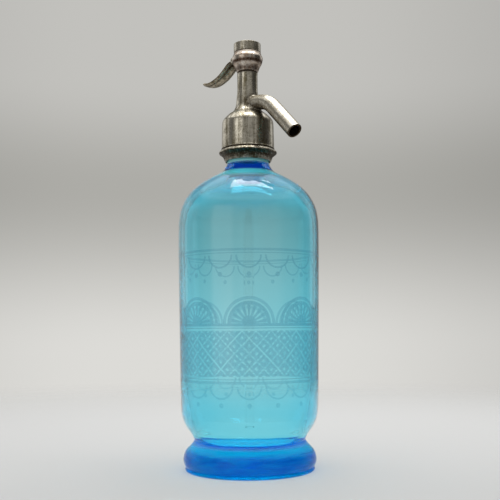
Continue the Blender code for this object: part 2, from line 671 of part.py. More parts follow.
def make_cap(parts, metal, leather):
    """The cap that closes the housing and backs the spring, with a small boss on its crown."""
    turned("cap_washer", ring(CAP_RADIUS - SEAM_WASHER_INSET, CAP_THREAD_RADIUS, cap_washer_z,
                              cap_washer_z + SEAM_WASHER_HEIGHT), leather, parts)
    boss_top = cap_top_z + CAP_BOSS_HEIGHT
    spigot_z = thread_z + GAP
    ceiling = cap_top_z - CAP_CROWN
    turned("top_cap", [
        (0.0, boss_top),
        (CAP_BOSS_RADIUS - CAP_BOSS_ROUND, boss_top),
        (CAP_BOSS_RADIUS, boss_top - CAP_BOSS_ROUND),
        (CAP_BOSS_RADIUS, cap_top_z),
        (CAP_RADIUS - CAP_ROUND, cap_top_z),
        (CAP_RADIUS, cap_top_z - CAP_ROUND),
        (CAP_RADIUS, cap_z),
        (cap_spigot, cap_z),
        (cap_spigot, spigot_z),
        (CAP_BORE_RADIUS, spigot_z),
        (CAP_BORE_RADIUS, ceiling),
        (0.0, ceiling),
    ], metal, parts, closed=False)


def make_spring(parts, steel):
    """The return spring, an open coil between the crosshead and the cap's crown."""
    low = spring_z + WIRE_RADIUS
    rise = spring_top_z - WIRE_RADIUS - low
    count = SPRING_TURNS * SPRING_STEPS
    path = [(SPRING_RADIUS * math.cos(math.tau * k / SPRING_STEPS),
             SPRING_RADIUS * math.sin(math.tau * k / SPRING_STEPS),
             low + rise * k / count) for k in range(count + 1)]
    tube("return_spring", path, WIRE_RADIUS, 2, steel, parts)
    print("least gap between spring turns, mm", round((rise / SPRING_TURNS - 2 * WIRE_RADIUS) / MM, 2))


def lever_line(share):
    """The blade's centre line: its place and direction at a share of its length, from the pivot."""
    places = [(-LEVER_REACH * x, -LEVER_DROP * z) for x, z in LEVER_PATH_SHARES]
    line = flow(places, 6)
    spot = share * (len(line) - 1)
    k = min(int(spot), len(line) - 2)
    (x0, z0), (x1, z1) = line[k], line[k + 1]
    part = spot - k
    direction = Vector((x1 - x0, 0.0, z1 - z0)).normalized()
    return Vector((x0 + (x1 - x0) * part, 0.0, z0 + (z1 - z0) * part)), direction


def blade(start, end, width, thickness, taper, tip, thin, sink):
    """Fills a bmesh with rounded sections carried along the lever's line, closed at both ends."""
    def build(bm):
        rows = []
        for k in range(BLADE_STATIONS + 1):
            share = start + (end - start) * k / BLADE_STATIONS
            place, direction = lever_line(share)
            up = Vector((direction.z, 0.0, -direction.x))
            run = max(0.0, (share - taper) / (end - taper))
            half = width / 2 * (tip + (1 - tip) * math.sqrt(max(0.0, 1 - run ** TIP_POWER)))
            high = thickness / 2 * (1 - (1 - thin) * (share - start) / (end - start))
            row = []
            for j in range(BLADE_SIDES):
                angle = math.tau * j / BLADE_SIDES
                across = math.copysign(abs(math.cos(angle)) ** EDGE_POWER, math.cos(angle))
                point = place - up * sink + up * high * math.sin(angle)
                row.append(bm.verts.new((point.x, half * across, point.z)))
            rows.append(row)
        for a, b in zip(rows, rows[1:]):
            for j in range(BLADE_SIDES):
                n = (j + 1) % BLADE_SIDES
                bm.faces.new((a[j], a[n], b[n], b[j]))
        bm.faces.new(rows[0])
        bm.faces.new(rows[-1])
    return build


def make_lever(parts, tools, metal, turning):
    """The lever: a broad curved blade with a rib under it, a hub on the screw and a forked nose."""
    lever = solid("lever", blade(LEVER_ROOT_SHARE, 1.0, LEVER_WIDTH, LEVER_THICKNESS, LEVER_TAPER_SHARE,
                                 LEVER_TIP_SHARE, LEVER_THIN_SHARE, 0.0), pivot, metal, parts, turning)
    rib = solid("lever_rib", blade(RIB_ROOT_SHARE, RIB_END_SHARE, RIB_WIDTH, LEVER_THICKNESS,
                                   RIB_TAPER_SHARE, LEVER_TIP_SHARE, LEVER_THIN_SHARE, RIB_DEPTH),
                pivot, None, tools)
    combine(lever, rib, "UNION")
    neck_x = -LEVER_REACH * ARM_END_SHARE
    outline = [
        (neck_x, ARM_NECK_HEIGHT / 2),
        *arc((0.0, 0.0), HUB_RADIUS, math.pi - HUB_SIDE_ANGLE, HUB_TOP_ANGLE, 7),
        (PIVOT_OFFSET - CROSSHEAD_RADIUS - GAP, NOSE_RADIUS - NOSE_DROP - ARM_DIP),
        *arc((nose_x, -NOSE_DROP), NOSE_RADIUS, math.pi / 2, -math.pi / 2, 8),
        *arc((0.0, 0.0), HUB_RADIUS, HUB_FOOT_ANGLE, HUB_SIDE_ANGLE - math.pi, 4),
        (neck_x, -ARM_NECK_HEIGHT / 2),
    ]
    arm = solid("lever_arm", prism(outline, arm_width), pivot, None, tools)
    combine(lever, arm, "UNION")
    gap = ROD_RADIUS + GAP
    fork = block("fork_gap", pivot + Vector((HUB_RADIUS + GAP, -gap, -HUB_RADIUS - OVERRUN)),
                 pivot + Vector((PIVOT_OFFSET + OVERRUN, gap, HUB_RADIUS + OVERRUN)), tools)
    combine(lever, fork, "DIFFERENCE")
    reach = Vector((0.0, SLOT_WIDTH, 0.0))
    combine(lever, rod_along("lever_hole", "Y", pin_hole, pivot - reach, pivot + reach, tools), "DIFFERENCE")


def main():
    clear_scene()
    parts = collection("soda_siphon")
    tools = collection("cutters")
    glass = finish("blue bottle glass", (0.045, 0.42, 0.62), 0.05, 0.0, 0.9)
    clear_glass = finish("clear tube glass", (0.8, 0.9, 0.92), 0.05, 0.0, 0.9)
    metal = finish("tin-plated casting", (0.42, 0.4, 0.35), 0.38, 1.0)
    steel = finish("spring steel", (0.45, 0.45, 0.46), 0.3, 1.0)
    brass = finish("brass", (0.62, 0.46, 0.2), 0.35, 1.0)
    rubber = finish("black rubber", (0.02, 0.02, 0.02), 0.75, 0.0)
    leather = finish("greased leather", (0.12, 0.07, 0.04), 0.7, 0.0)
    ceramic = finish("white stoneware", (0.78, 0.76, 0.7), 0.3, 0.0)

    turning = bpy.data.objects.new("lever_pivot", None)
    turning.location = pivot
    slide = bpy.data.objects.new("valve_slide", None)
    slide.location = (0.0, 0.0, seat_z)
    for guide in (turning, slide):
        parts.objects.link(guide)
    bpy.context.view_layer.update()

    make_bottle(parts, glass)
    make_dip_tube(parts, tools, clear_glass, rubber, brass)
    make_neck_gasket(parts, rubber)
    make_collar(parts, tools, metal)
    make_head(parts, tools, metal)
    make_spout(parts, tools, metal)
    make_valve_seat(parts, ceramic)
    make_valve(parts, slide, rubber, brass)
    make_packing(parts, leather, brass)
    make_housing(parts, tools, metal, leather)
    make_lever_screw(parts, tools, metal)
    make_cap(parts, metal, leather)
    make_spring(parts, steel)
    make_lever(parts, tools, metal, turning)
    bpy.context.view_layer.update()


main()
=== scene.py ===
"""A soda siphon as it looks: a blue glass bottle on a rolled foot, with a worn tin-plated head, a bent
spout and a press lever.

Named lengths are millimetres, and the meshes are metres. +Z runs up the bottle's axis, +X points to the
spout, and the lever is on the -X side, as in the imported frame."""
import math

import bmesh
import bpy
import numpy as np
from mathutils import Matrix, Vector


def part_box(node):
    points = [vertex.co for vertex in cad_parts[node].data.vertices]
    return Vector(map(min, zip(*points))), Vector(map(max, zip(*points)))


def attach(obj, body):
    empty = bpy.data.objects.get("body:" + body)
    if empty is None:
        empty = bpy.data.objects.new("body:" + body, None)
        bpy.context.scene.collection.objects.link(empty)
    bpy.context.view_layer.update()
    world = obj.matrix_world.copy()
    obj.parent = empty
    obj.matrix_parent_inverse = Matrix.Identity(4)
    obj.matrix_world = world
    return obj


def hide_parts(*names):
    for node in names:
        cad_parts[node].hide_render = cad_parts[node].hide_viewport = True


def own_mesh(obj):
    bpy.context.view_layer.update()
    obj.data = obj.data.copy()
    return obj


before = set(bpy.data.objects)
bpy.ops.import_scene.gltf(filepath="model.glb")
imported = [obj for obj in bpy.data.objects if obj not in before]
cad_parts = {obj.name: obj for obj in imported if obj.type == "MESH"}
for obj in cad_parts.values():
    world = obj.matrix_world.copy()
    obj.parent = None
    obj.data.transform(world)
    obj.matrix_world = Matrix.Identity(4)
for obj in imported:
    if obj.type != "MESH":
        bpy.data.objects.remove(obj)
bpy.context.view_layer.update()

MM = 0.001
METRE = 1000.0  # in mm, over a size in mm to scale a texture
TAU = math.tau

# The bottle
BODY_RADIUS = 48.7
HEEL_RADIUS = 46.9
HEEL_HEIGHT = 48.0
WIDEST_HEIGHT = 152.0
SHOULDER_HEIGHT = 162.0
NECK_HEIGHT = 208.0
NECK_ROOT_RADIUS = 15.3
NECK_RADIUS = 13.6
NECK_FLARE = 8.0
MOUTH_HEIGHT = 235.0
LIP_RADIUS = 16.0
LIP_HEIGHT = 6.0
LIP_ROUND = 1.0
GLASS_WALL = 4.5
BORE_RADIUS = 10.0
WAIST_RADIUS = 37.5
WAIST_HEIGHT = 20.0
FOOT_RADIUS = 45.1
RIM_RADIUS = 43.8
RIM_HEIGHT = 1.6
RIM_ROUND = 0.5
STANDING_WIDTH = 7.0
PUNT_DEPTH = 5.0
FLOOR_HEIGHT = 16.0
SHOULDER_SHARES = ((1, 0), (0.99, 0.17), (0.93, 0.37), (0.75, 0.585), (0.45, 0.755), (0.12, 0.89), (0, 1))
COVE_SHARES = ((1, 1), (0.94, 0.62), (0.66, 0.357), (0.22, 0.15), (0, 0))
ROLL_SHARES = ((0, 1), (0.3, 0.83), (0.8, 0.61), (1, 0.33), (0.88, 0.11), (0.67, 0))
FLOOR_SHARES = ((0, 0), (0.6, 0.03), (0.78, 0.13), (0.88, 0.34), (0.97, 0.62))
WALL_WAVES = ((0.1, 7, 40), (0.07, 13, -25), (0.12, 3, 18))  # depth, waves in a turn, rise in a radian
WAVES_RADIUS = 30.0  # the waves grow from the axis out to here
WAVES_TOP = 210.0
WAVES_FADE = 20.0

# The dip tube
TUBE_RADIUS = 3.5
TUBE_BORE = 2.4
TUBE_FOOT = 28.0
TUBE_TOP = 242.3
TUBE_FLANGE = 5.9
TUBE_FLANGE_FOOT = 241.0

# The collar and the head
COLLAR_FOOT = 211.0
COLLAR_BORE = 13.9
COLLAR_FLARE = 15.5
COLLAR_FLARE_TOP = 216.5
HUB_RADIUS = 16.1
HUB_TOP_RADIUS = 17.6
HUB_TOP = 214.9
FLANGE_RADIUS = 20.4
FLANGE_EDGE = 217.4
FLANGE_TOP_RADIUS = 18.9
FLANGE_TOP = 219.1
FLANGE_CHAMFERS = ((0.3, -0.6), (0.2, 0.5))  # inwards and upwards from the edge
SLEEVE_RADIUS = 16.6
SLEEVE_TOP = 228.7
SPLIT_ANGLE = math.radians(12)
SPLIT_GAP = 0.3
SKIRT_FOOT = 219.4
SKIRT_BORE = 16.9
SKIRT_RADIUS = 18.2
SKIRT_RIM = 18.45
BEAD_RADIUS = 18.75
BEAD_TOP = 220.9
BEAD_SHOULDER = 0.5
BEAD_DRAFT = 0.1
RIM_RISE = 0.9
CEILING = 237.6
DOME_FOOT = 236.5
DOME_TOP = 263.0
COLUMN_RADIUS = 7.25
COLUMN_TOP = 274.9
DOME_SHARES = ((0, 1), (0.06, 0.74), (0.12, 0.54), (0.3, 0.4), (0.66, 0.283), (0.95, 0.14), (1, 0))
SEAT_BORE = 8.0
SEAT_TOP = 245.3
VALVE_BORE = 5.2
PARTITION_FOOT = 257.4
PARTITION_TOP = 259.4
ROD_HOLE = 1.9
UPPER_BORE = 5.0
END_CHAMFER = 0.3  # at the seams of column and housing

# The spout
SPOUT_RADIUS = 5.3
SPOUT_WALL = 1.15
SPOUT_HEIGHT = 251.4
SPOUT_START = 5.5
SPOUT_RUN = 5.9
SPOUT_BEND = 21.6
SPOUT_ANGLE = math.radians(45)
SPOUT_LENGTH = 29.1
SPOUT_LIP = 0.6
SPOUT_PRESSED = 0.03
PRESSED_LENGTH = 8.0
SPOUT_CLEARANCE = 0.3
SPOUT_HOLE = (4.0, 24.0)
SOLDER_WIDTH = 1.5
SOLDER_SINK = 0.05
SOLDER_DEPTH = 1.6
SOLDER_ROOT_DEPTH = 2.2

# The housing, the cap and their washers
SEAM_FOOT = 275.2
SEAM_HEIGHT = 0.5
SEAM_BORE = 5.3
SEAM_INSET = 0.1
HOUSING_FOOT = 275.75
HOUSING_TOP = 289.45
HOUSING_FOOT_RADIUS = 7.5
BULB_RADIUS = 10.95
THROAT_HEIGHT = 282.5
BULB_SHARES = ((0.63, 1), (0.75, 0.89), (0.97, 0.77), (1, 0.65), (0.78, 0.44), (0.42, 0.27), (0, 0))
SPIGOT_RADIUS = 4.7
SPIGOT_FOOT = 269.5
ROD_PASSAGE = 3.0
CHAMBER_RADIUS = 8.4
CHAMBER_FOOT = 279.0
CHAMBER_CONE = 2.6
THREAD_RADIUS = 7.2
THREAD_FOOT = 287.2
CAP_WASHER_FOOT = 289.5
CAP_WASHER_INSET = 0.05
CAP_RADIUS = 9.6
CAP_FOOT = 290.05
CAP_TOP = 296.3
CAP_ROUND = 0.5
CAP_BORE = 5.3
CAP_CEILING = 294.6
CAP_SPIGOT = 6.9
CAP_SPIGOT_FOOT = 287.5
BOSS_RADIUS = 4.2
BOSS_TOP = 298.4
BOSS_ROUND = 0.7

# The return spring, which the lifted rod presses together
SPRING_RADIUS = 3.6
WIRE_RADIUS = 0.4
SPRING_TURNS = 5

# The lever and its screw
PIVOT = np.array((-8.6, 0.0, 285.5))
SLOT_HALF = 3.5
SLOT_DROP = 3.6
SLOT_RISE = 2.5
SLOT_PAST = 2.0  # how far a slot's cutter reaches past the face that it cuts
LEVER_REACH = 38.8
LEVER_DROP = 9.6
LEVER_WIDTH = 11.0
LEVER_THICKNESS = 3.4
LEVER_THIN_SHARE = 0.8
LEVER_ROOT_SHARE = 0.106
LEVER_END_SHARE = 0.91
LEVER_TAPER_SHARE = 0.7
LEVER_TIP_SHARE = 0.55
TIP_POWER = 2.2
SECTION_POWER = 0.8
RIB_WIDTH = 6.0
RIB_DEPTH = 1.5
RIB_START_SHARE = 0.105
RIB_END_SHARE = 0.48
ARM_HALF = 3.2
ARM_END = -6.2
ARM_HALF_HEIGHT = 1.4
LEVER_HUB = 2.2
NOSE_REACH = 8.4
NOSE_RADIUS = 1.1
NOSE_DROP = 2.0
NOSE_UNDER = ((0.8, -2.05), (3.2, -3.0))  # from the pivot, ahead and up
NOSE_OVER = ((4.0, -1.15), (2.0, 0.8))
FORK_HALF = 1.9
PIN_RADIUS = 1.1
PIN_HOLE = 1.25
PIN_HOLE_HALF = 14.0
SCREW_RADIUS = 1.9
SCREW_HEIGHT = 0.9
SCREW_SLOT = 0.6
SCREW_SLOT_DEPTH = 0.4
SCREW_SLOT_REACH = 3.0
SCREW_SEAT = -6.18
SCREW_END = 6.38
SPOT_FACE_RADIUS = 2.2
SPOT_FACE = -5.88
LEVER_PATH_SHARES = ((0, 0), (0.1, 0), (0.2, 0.1), (0.375, 0.55), (0.52, 0.82), (0.72, 1), (0.89, 0.96),
                     (1, 0.75))

# The camera, fitted to the foot, the collar, the cap and the spout's mouth. Its place is in metres.
VIEW_AZIMUTH = math.radians(49)
VIEW_DISTANCE = 0.558
VIEW_HEIGHT = 0.095
VIEW_TILT = math.radians(5.53)
VIEW_PAN = math.radians(-0.1)
VIEW_ROLL = math.radians(-0.4)
VIEW_LENS = 58.0
FILM_WIDTH = 36.0


# ---- lines and surfaces ----

def flow(points, steps=8):
    """A smooth line through points. Between two neighbours it is the cubic whose slope at each is half the
    step from the point before it to the point after it, and an end counts as its own neighbour."""
    line = np.array(points, float)
    padded = np.vstack([line[:1], line, line[-1:]])
    a, b, c, d = (padded[k:len(padded) - 3 + k, None] for k in range(4))
    t = (np.arange(steps) / steps)[None, :, None]
    square, cube = 2 * a - 5 * b + 4 * c - d, 3 * b - a - 3 * c + d
    curve = (2 * b + (c - a) * t + square * t ** 2 + cube * t ** 3) / 2
    return np.vstack([curve.reshape(-1, line.shape[1]), line[-1:]])


def spread(shares, low, high):
    """Turns shares of (radius, height) into an outline between two corners."""
    low, high = np.array(low, float), np.array(high, float)
    return low + (high - low) * np.array(shares, float)


def eased(outline, cut, steps=4):
    """Rounds each corner of an outline: it is left at a distance of cut before the corner P and joined
    again as far behind it, along A (1-t)^2 + 2 P t (1-t) + B t^2. cut is one length or one for each point,
    and never more than 0.45 of the shorter side there."""
    line = np.array(outline, float)
    sides = np.diff(line, axis=0)
    lengths = np.linalg.norm(sides, axis=1)
    inner = line[1:-1]
    cuts = np.broadcast_to(np.asarray(cut, float), (len(inner),))
    cuts = np.minimum(cuts, 0.45 * np.minimum(lengths[:-1], lengths[1:]))[:, None]
    before = (inner - sides[:-1] / lengths[:-1, None] * cuts)[:, None]
    after = (inner + sides[1:] / lengths[1:, None] * cuts)[:, None]
    t = np.linspace(0, 1, steps)[None, :, None]
    arcs = before * (1 - t) ** 2 + 2 * inner[:, None] * t * (1 - t) + after * t ** 2
    return np.vstack([line[:1], arcs.reshape(-1, line.shape[1]), line[-1:]])


def turned(outline, around=96):
    """An outline of (radius, height) carried round the axis: (r cos a, r sin a, z)."""
    angle = np.arange(around) * TAU / around
    r, z = np.array(outline, float).T
    return np.stack([np.outer(r, np.cos(angle)), np.outer(r, np.sin(angle)),
                     np.repeat(z[:, None], around, 1)], -1)


def bored(outer, inner):
    """A loop from two outlines of (radius, height), up the first and back down the second."""
    return np.vstack([outer, np.array(inner, float)[::-1]])


CREASE = 32  # degrees: an edge that turns by more than this is kept sharp
MERGED = 1e-7  # metres: points that lie nearer than this become one


def skin(name, *grids):
    """A mesh from grids of points in millimetres. A grid is (points, loop of rows, loop of columns). Each
    point is joined in fours with the next one along its row and its column, and a loop joins its last line
    to its first as well. Points that fall together, as at a pole, become one."""
    places, fours, count = [], [], 0
    for points, loop_rows, loop_columns in grids:
        index = count + np.arange(points.shape[0] * points.shape[1]).reshape(points.shape[:2])
        count += index.size
        index = np.vstack([index, index[:1]]) if loop_rows else index
        index = np.hstack([index, index[:, :1]]) if loop_columns else index
        corners = [index[:-1, :-1], index[:-1, 1:], index[1:, 1:], index[1:, :-1]]
        fours.append(np.stack(corners, -1).reshape(-1, 4))
        places.append(points.reshape(-1, 3) * MM)
    mesh = bpy.data.meshes.new(name)
    mesh.from_pydata(np.vstack(places).tolist(), [], np.vstack(fours).tolist())
    bm = bmesh.new()
    bm.from_mesh(mesh)
    bmesh.ops.remove_doubles(bm, verts=bm.verts, dist=MERGED)
    bmesh.ops.recalc_face_normals(bm, faces=bm.faces)
    bm.to_mesh(mesh)
    bm.free()
    piece = bpy.data.objects.new(name, mesh)
    bpy.context.scene.collection.objects.link(piece)
    return shaded(piece)


def shaded(piece):
    """Smooth faces, with the edges that turn by more than CREASE kept sharp."""
    piece.data.shade_smooth()
    piece.data.set_sharp_from_angle(angle=math.radians(CREASE))
    return piece


def capped(points):
    """Closes an open pile of loops: a row at each end where the whole loop is at its own middle."""
    middles = points[[0, -1]].mean(axis=1, keepdims=True)
    ends = np.repeat(middles, points.shape[1], 1)
    return np.concatenate([ends[:1], points, ends[1:]])


def along(axis, radius, start, end, around=48):
    """A plain rod between two points, along x, y or z: a circle at each end, closed at the middles."""
    angle = np.arange(around) * TAU / around
    ring = np.zeros((around, 3))
    ring[:, (axis + 1) % 3] = radius * np.cos(angle)
    ring[:, (axis + 2) % 3] = radius * np.sin(angle)
    return capped(np.stack([ring + np.array(start, float), ring + np.array(end, float)]))


def slab(low, high):
    """A box between two corners, as two square loops closed at their middles."""
    (x0, y0, z0), (x1, y1, z1) = low, high
    square = np.array([(x0, y0), (x1, y0), (x1, y1), (x0, y1)], float)
    return capped(np.stack([np.column_stack([square, np.full(4, z)]) for z in (z0, z1)]))


def cut(piece, *grids):
    """Takes tools away from a piece, as a milling cutter does, and keeps the finished mesh."""
    tools = [skin(piece.name + "_tool", (points, False, True)) for points in grids]
    for tool in tools:
        step = piece.modifiers.new("cut", "BOOLEAN")
        step.operation = "DIFFERENCE"
        step.solver = "EXACT"
        step.object = tool
    bpy.context.view_layer.update()
    made = bpy.data.meshes.new_from_object(piece.evaluated_get(bpy.context.evaluated_depsgraph_get()))
    piece.modifiers.clear()
    piece.data = made
    for tool in tools:
        bpy.data.objects.remove(tool)
    return shaded(piece)


# ---- finishes ----

def paint(code):
    """A linear colour from its sRGB hex code: x/12.92 up to 0.04045, else ((x+0.055)/1.055)^2.4."""
    value = np.array([int(code[k:k + 2], 16) for k in (1, 3, 5)]) / 255
    return (*np.where(value <= 0.04045, value / 12.92, ((value + 0.055) / 1.055) ** 2.4).tolist(), 1.0)


def add(tree, kind, feeds=None, **settings):
    """Adds one node with its settings, and feeds its sockets from values or from other nodes' sockets."""
    made = tree.nodes.new("ShaderNode" + kind)
    for name, value in settings.items():
        setattr(made, name, value)
    for socket, value in (feeds or {}).items():
        if isinstance(value, bpy.types.NodeSocket):
            tree.links.new(value, made.inputs[socket])
        else:
            made.inputs[socket].default_value = value
    return made


def blank(name):
    """A material with an empty node tree and its output."""
    material = bpy.data.materials.new(name)
    material.use_nodes = True
    material.node_tree.nodes.clear()
    return material, material.node_tree, add(material.node_tree, "OutputMaterial")


FACTOR, FIRST, SECOND, MIXED = 0, 6, 7, 2  # the Mix node's colour sockets

# The metals' wear: the size of each noise in mm, its detail and its roughness, and two depths in mm
MARKS = (2.2, 4.0, 0.62)
SPECKS = (0.9, 3.0, 0.7)
CLUSTERS = (6.0, 2.0, 0.5)
PATCHES = (4.0, 4.0, 0.7)
WAVES = (5.0, 1.0, 0.5)
SPECK_DEPTH = 0.012
PIT_DEPTH = 0.06


def worn_metal(name, pale, dull, stain, roughness, streak=1.0, cloud_mm=9.0, pit_mm=1.1, pit_share=0.5,
               wave_mm=0.06, patch_share=0.5):
    """A metal that has been handled for a long time. Clouds, marks drawn along the axis where streak is under
    1, and fine specks turn it from pale to dull. Brown patches, pits of pit_mm, hollows, the soil that
    collects round joints and the painted shade that some pieces add in creases, under overhangs and on
    undersides are dark and rough, and edges are rubbed bright. roughness is (least, most)."""
    material, tree, out = blank(name)
    place = add(tree, "TexCoord").outputs["Object"]
    drawn = add(tree, "Mapping", {"Vector": place, "Scale": (1, 1, streak)}).outputs[0]
    clouds, marks, specks, clusters, patches, waves = (
        add(tree, "TexNoise", {"Vector": vector, "Scale": METRE / size, "Detail": detail,
                               "Roughness": grit}).outputs[0]
        for vector, size, detail, grit in (
            (place, cloud_mm, 5.0, 0.62), (drawn, *MARKS), (place, *SPECKS), (place, *CLUSTERS),
            (place, *PATCHES), (place, *WAVES)))
    cells = add(tree, "TexVoronoi", {"Vector": place, "Scale": METRE / pit_mm}).outputs
    chosen = add(tree, "SeparateColor", {0: cells["Color"]}).outputs[0]
    edge = add(tree, "NewGeometry").outputs["Pointiness"]
    tone = clouds
    for value, weight in ((marks, 1.5), (specks, 0.9)):
        tone = add(tree, "Math", {0: value, 1: weight, 2: tone}, operation="MULTIPLY_ADD").outputs[0]
    tone, chosen, clusters, pits, hollow, rubbed, patches = (
        add(tree, "MapRange", {"Value": value, "From Min": low, "From Max": high, "To Max": most}).outputs[0]
        for value, low, high, most in (
            (tone, 1.5, 1.95, 1.0), (chosen, 1 - pit_share, 1.0, 1.0), (clusters, 0.4, 0.58, 1.0),
            (cells["Distance"], 0.4, 0.12, 1.0), (edge, 0.46, 0.4, 1.0), (edge, 0.53, 0.6, 0.7),
            (patches, 0.52, 0.68, patch_share)))
    for share in (chosen, clusters):
        pits = add(tree, "Math", {0: pits, 1: share}, operation="MULTIPLY").outputs[0]
    # The attribute read here holds real soil and painted shade, and both are mixed in as the dark stain
    # colour.
    soil_and_shade = add(tree, "Attribute", attribute_name="soil_and_shade").outputs["Fac"]
    broken = add(tree, "Math", {0: specks, 1: 1.6, 2: 0.1}, operation="MULTIPLY_ADD").outputs[0]
    soil_and_shade = add(tree, "Math", {0: broken, 1: soil_and_shade}, operation="MULTIPLY", use_clamp=True).outputs[0]
    dark = pits
    for share in (hollow, patches, soil_and_shade):
        dark = add(tree, "Math", {0: dark, 1: share}, operation="MAXIMUM").outputs[0]
    colour = paint(pale)
    for share, code in ((tone, dull), (rubbed, pale), (dark, stain)):
        colour = add(tree, "Mix", {FACTOR: share, FIRST: colour, SECOND: paint(code)},
                     data_type="RGBA").outputs[MIXED]
    gloss = add(tree, "MapRange", {"Value": tone, "To Min": roughness[0], "To Max": roughness[1]}).outputs[0]
    gloss = add(tree, "Math", {0: dark, 1: 0.25, 2: gloss}, operation="MULTIPLY_ADD").outputs[0]
    shape = add(tree, "Bump", {"Height": waves, "Distance": wave_mm * MM}).outputs[0]
    shape = add(tree, "Bump", {"Height": specks, "Distance": SPECK_DEPTH * MM, "Normal": shape}).outputs[0]
    shape = add(tree, "Bump", {"Height": pits, "Distance": PIT_DEPTH * MM, "Normal": shape}, invert=True)
    shader = add(tree, "BsdfPrincipled", {"Base Color": colour, "Metallic": 1.0, "Roughness": gloss,
                                          "Normal": shape.outputs[0]})
    tree.links.new(shader.outputs[0], out.inputs["Surface"])
    return material


# The etched pattern's sizes in mm. Heights are above the arches' feet, and a ring or a line is given by
# where its middle is and by half its width.
ARCHES = 8
ARCH_WIDTH = TAU * BODY_RADIUS / ARCHES
ARCH_FOOT = 98.0
ARCH_FACING = VIEW_AZIMUTH - math.pi / 2  # the way round where one arch has its middle
ARCH_RING = (16.2, 1.0)
DISC_RADIUS = 14.2
RAYS = 9
RAY_RING = (8.4, 3.4)
RAY_SHARE = 0.24
MESH_WIDTH = ARCH_WIDTH / 4
MESH_LINE = 0.65
LOZENGE_START = 3.4
BELT_DROP = 19.2
BELT_HALF = 14.37
BORDER_LINES = ((16.2, 0.35), (18.3, 0.9))
TOP_LINES = ((47.0, 0.8), (44.9, 0.3))
SWAG_TOPS = (-39.5, 43.5)
SWAG_RING = (8.0, 0.6)
DROP_DEPTH = 12.2
DROP_RADIUS = math.sqrt(2.4)

# The etched pattern, as sums that are worked out in order. side is the way round the bottle in mm from the
# middle of one of the arches, rise is the height in mm above their feet. Each arch is a ring round a half
# disc with a fan of clear rays. Under the arches runs a belt with clear crossed lines and a clear lozenge
# in each mesh, between a thin and a thick line on either side. Swags with drops hang from the belt and from
# a double line on the body's upper part.
ETCHING = [
    ("angle", "ARCTAN2", "y", "x"),
    ("turn", "MULTIPLY_ADD", "angle", ARCHES / TAU, 0.5 - ARCHES * ARCH_FACING / TAU),
    ("part", "FRACT", "turn"),
    ("side", "MULTIPLY_ADD", "part", ARCH_WIDTH, -ARCH_WIDTH / 2),
    ("rise", "MULTIPLY_ADD", "z", 1 / MM, -ARCH_FOOT),
    ("side2", "MULTIPLY", "side", "side"),
    ("reach2", "MULTIPLY_ADD", "rise", "rise", "side2"),
    ("reach", "SQRT", "reach2"),
    ("ring", "COMPARE", "reach", *ARCH_RING),
    ("lean", "ARCTAN2", "side", "rise"),
    ("fan", "MULTIPLY_ADD", "lean", RAYS / math.pi, 0.5),
    ("ray", "PINGPONG", "fan", 0.5),
    ("ray", "LESS_THAN", "ray", RAY_SHARE),
    ("between", "COMPARE", "reach", *RAY_RING),
    ("ray", "MULTIPLY", "ray", "between"),
    ("disc", "LESS_THAN", "reach", DISC_RADIUS),
    ("disc", "SUBTRACT", "disc", "ray"),
    ("arch", "MAXIMUM", "ring", "disc"),
    ("over", "GREATER_THAN", "rise", 0.0),
    ("all", "MULTIPLY", "arch", "over"),
    ("up", "ADD", "side", "rise"),
    ("up", "PINGPONG", "up", MESH_WIDTH / 2),
    ("down", "SUBTRACT", "side", "rise"),
    ("down", "PINGPONG", "down", MESH_WIDTH / 2),
    ("near", "MINIMUM", "up", "down"),
    ("line", "LESS_THAN", "near", MESH_LINE),
    ("lozenge", "GREATER_THAN", "near", LOZENGE_START),
    ("net", "MAXIMUM", "line", "lozenge"),
    ("net", "SUBTRACT", 1.0, "net"),
    ("middle", "ADD", "rise", BELT_DROP),
    ("middle", "ABSOLUTE", "middle"),
    ("inside", "LESS_THAN", "middle", BELT_HALF),
    ("net", "MULTIPLY", "net", "inside"),
    ("all", "MAXIMUM", "all", "net"),
    ("bay", "PINGPONG", "side", ARCH_WIDTH / 4),
    ("bay2", "MULTIPLY", "bay", "bay"),
]
for where, lines in (("middle", BORDER_LINES), ("rise", TOP_LINES)):
    for line in lines:
        ETCHING += [("edge", "COMPARE", where, *line), ("all", "MAXIMUM", "all", "edge")]
for swag_top in SWAG_TOPS:
    ETCHING += [
        ("sink", "SUBTRACT", "rise", swag_top),
        ("reach2", "MULTIPLY_ADD", "sink", "sink", "bay2"),
        ("reach", "SQRT", "reach2"),
        ("swag", "COMPARE", "reach", *SWAG_RING),
        ("under", "LESS_THAN", "sink", 0.0),
        ("swag", "MULTIPLY", "swag", "under"),
        ("sink", "ADD", "sink", DROP_DEPTH),
        ("reach2", "MULTIPLY_ADD", "sink", "sink", "bay2"),
        ("drop", "LESS_THAN", "reach2", DROP_RADIUS ** 2),
        ("all", "MAXIMUM", "all", "swag"),
        ("all", "MAXIMUM", "all", "drop"),
    ]
ETCHED_RADIUS = 45.6  # the outer face lies outside this radius, and the inner face within it

# The glass's tints, as heights in mm. Each mask goes from 0 at its first height to 1 at its second.
NECK_BAND = ((202.6, 203.8), (208.4, 209.4))  # where the thick neck root looks deep blue
FOOT_MASK = (22.0, 16.5)
ROLL_MASK = (18.0, 12.0)
# Above the neck band the glass's film is painted paler, as painted light where the collar shades the lip.
LIP_PAINTED_LIGHT_MASK = (204.0, 208.0)
HEEL_TINT = (62.0, 32.0, 0.3)
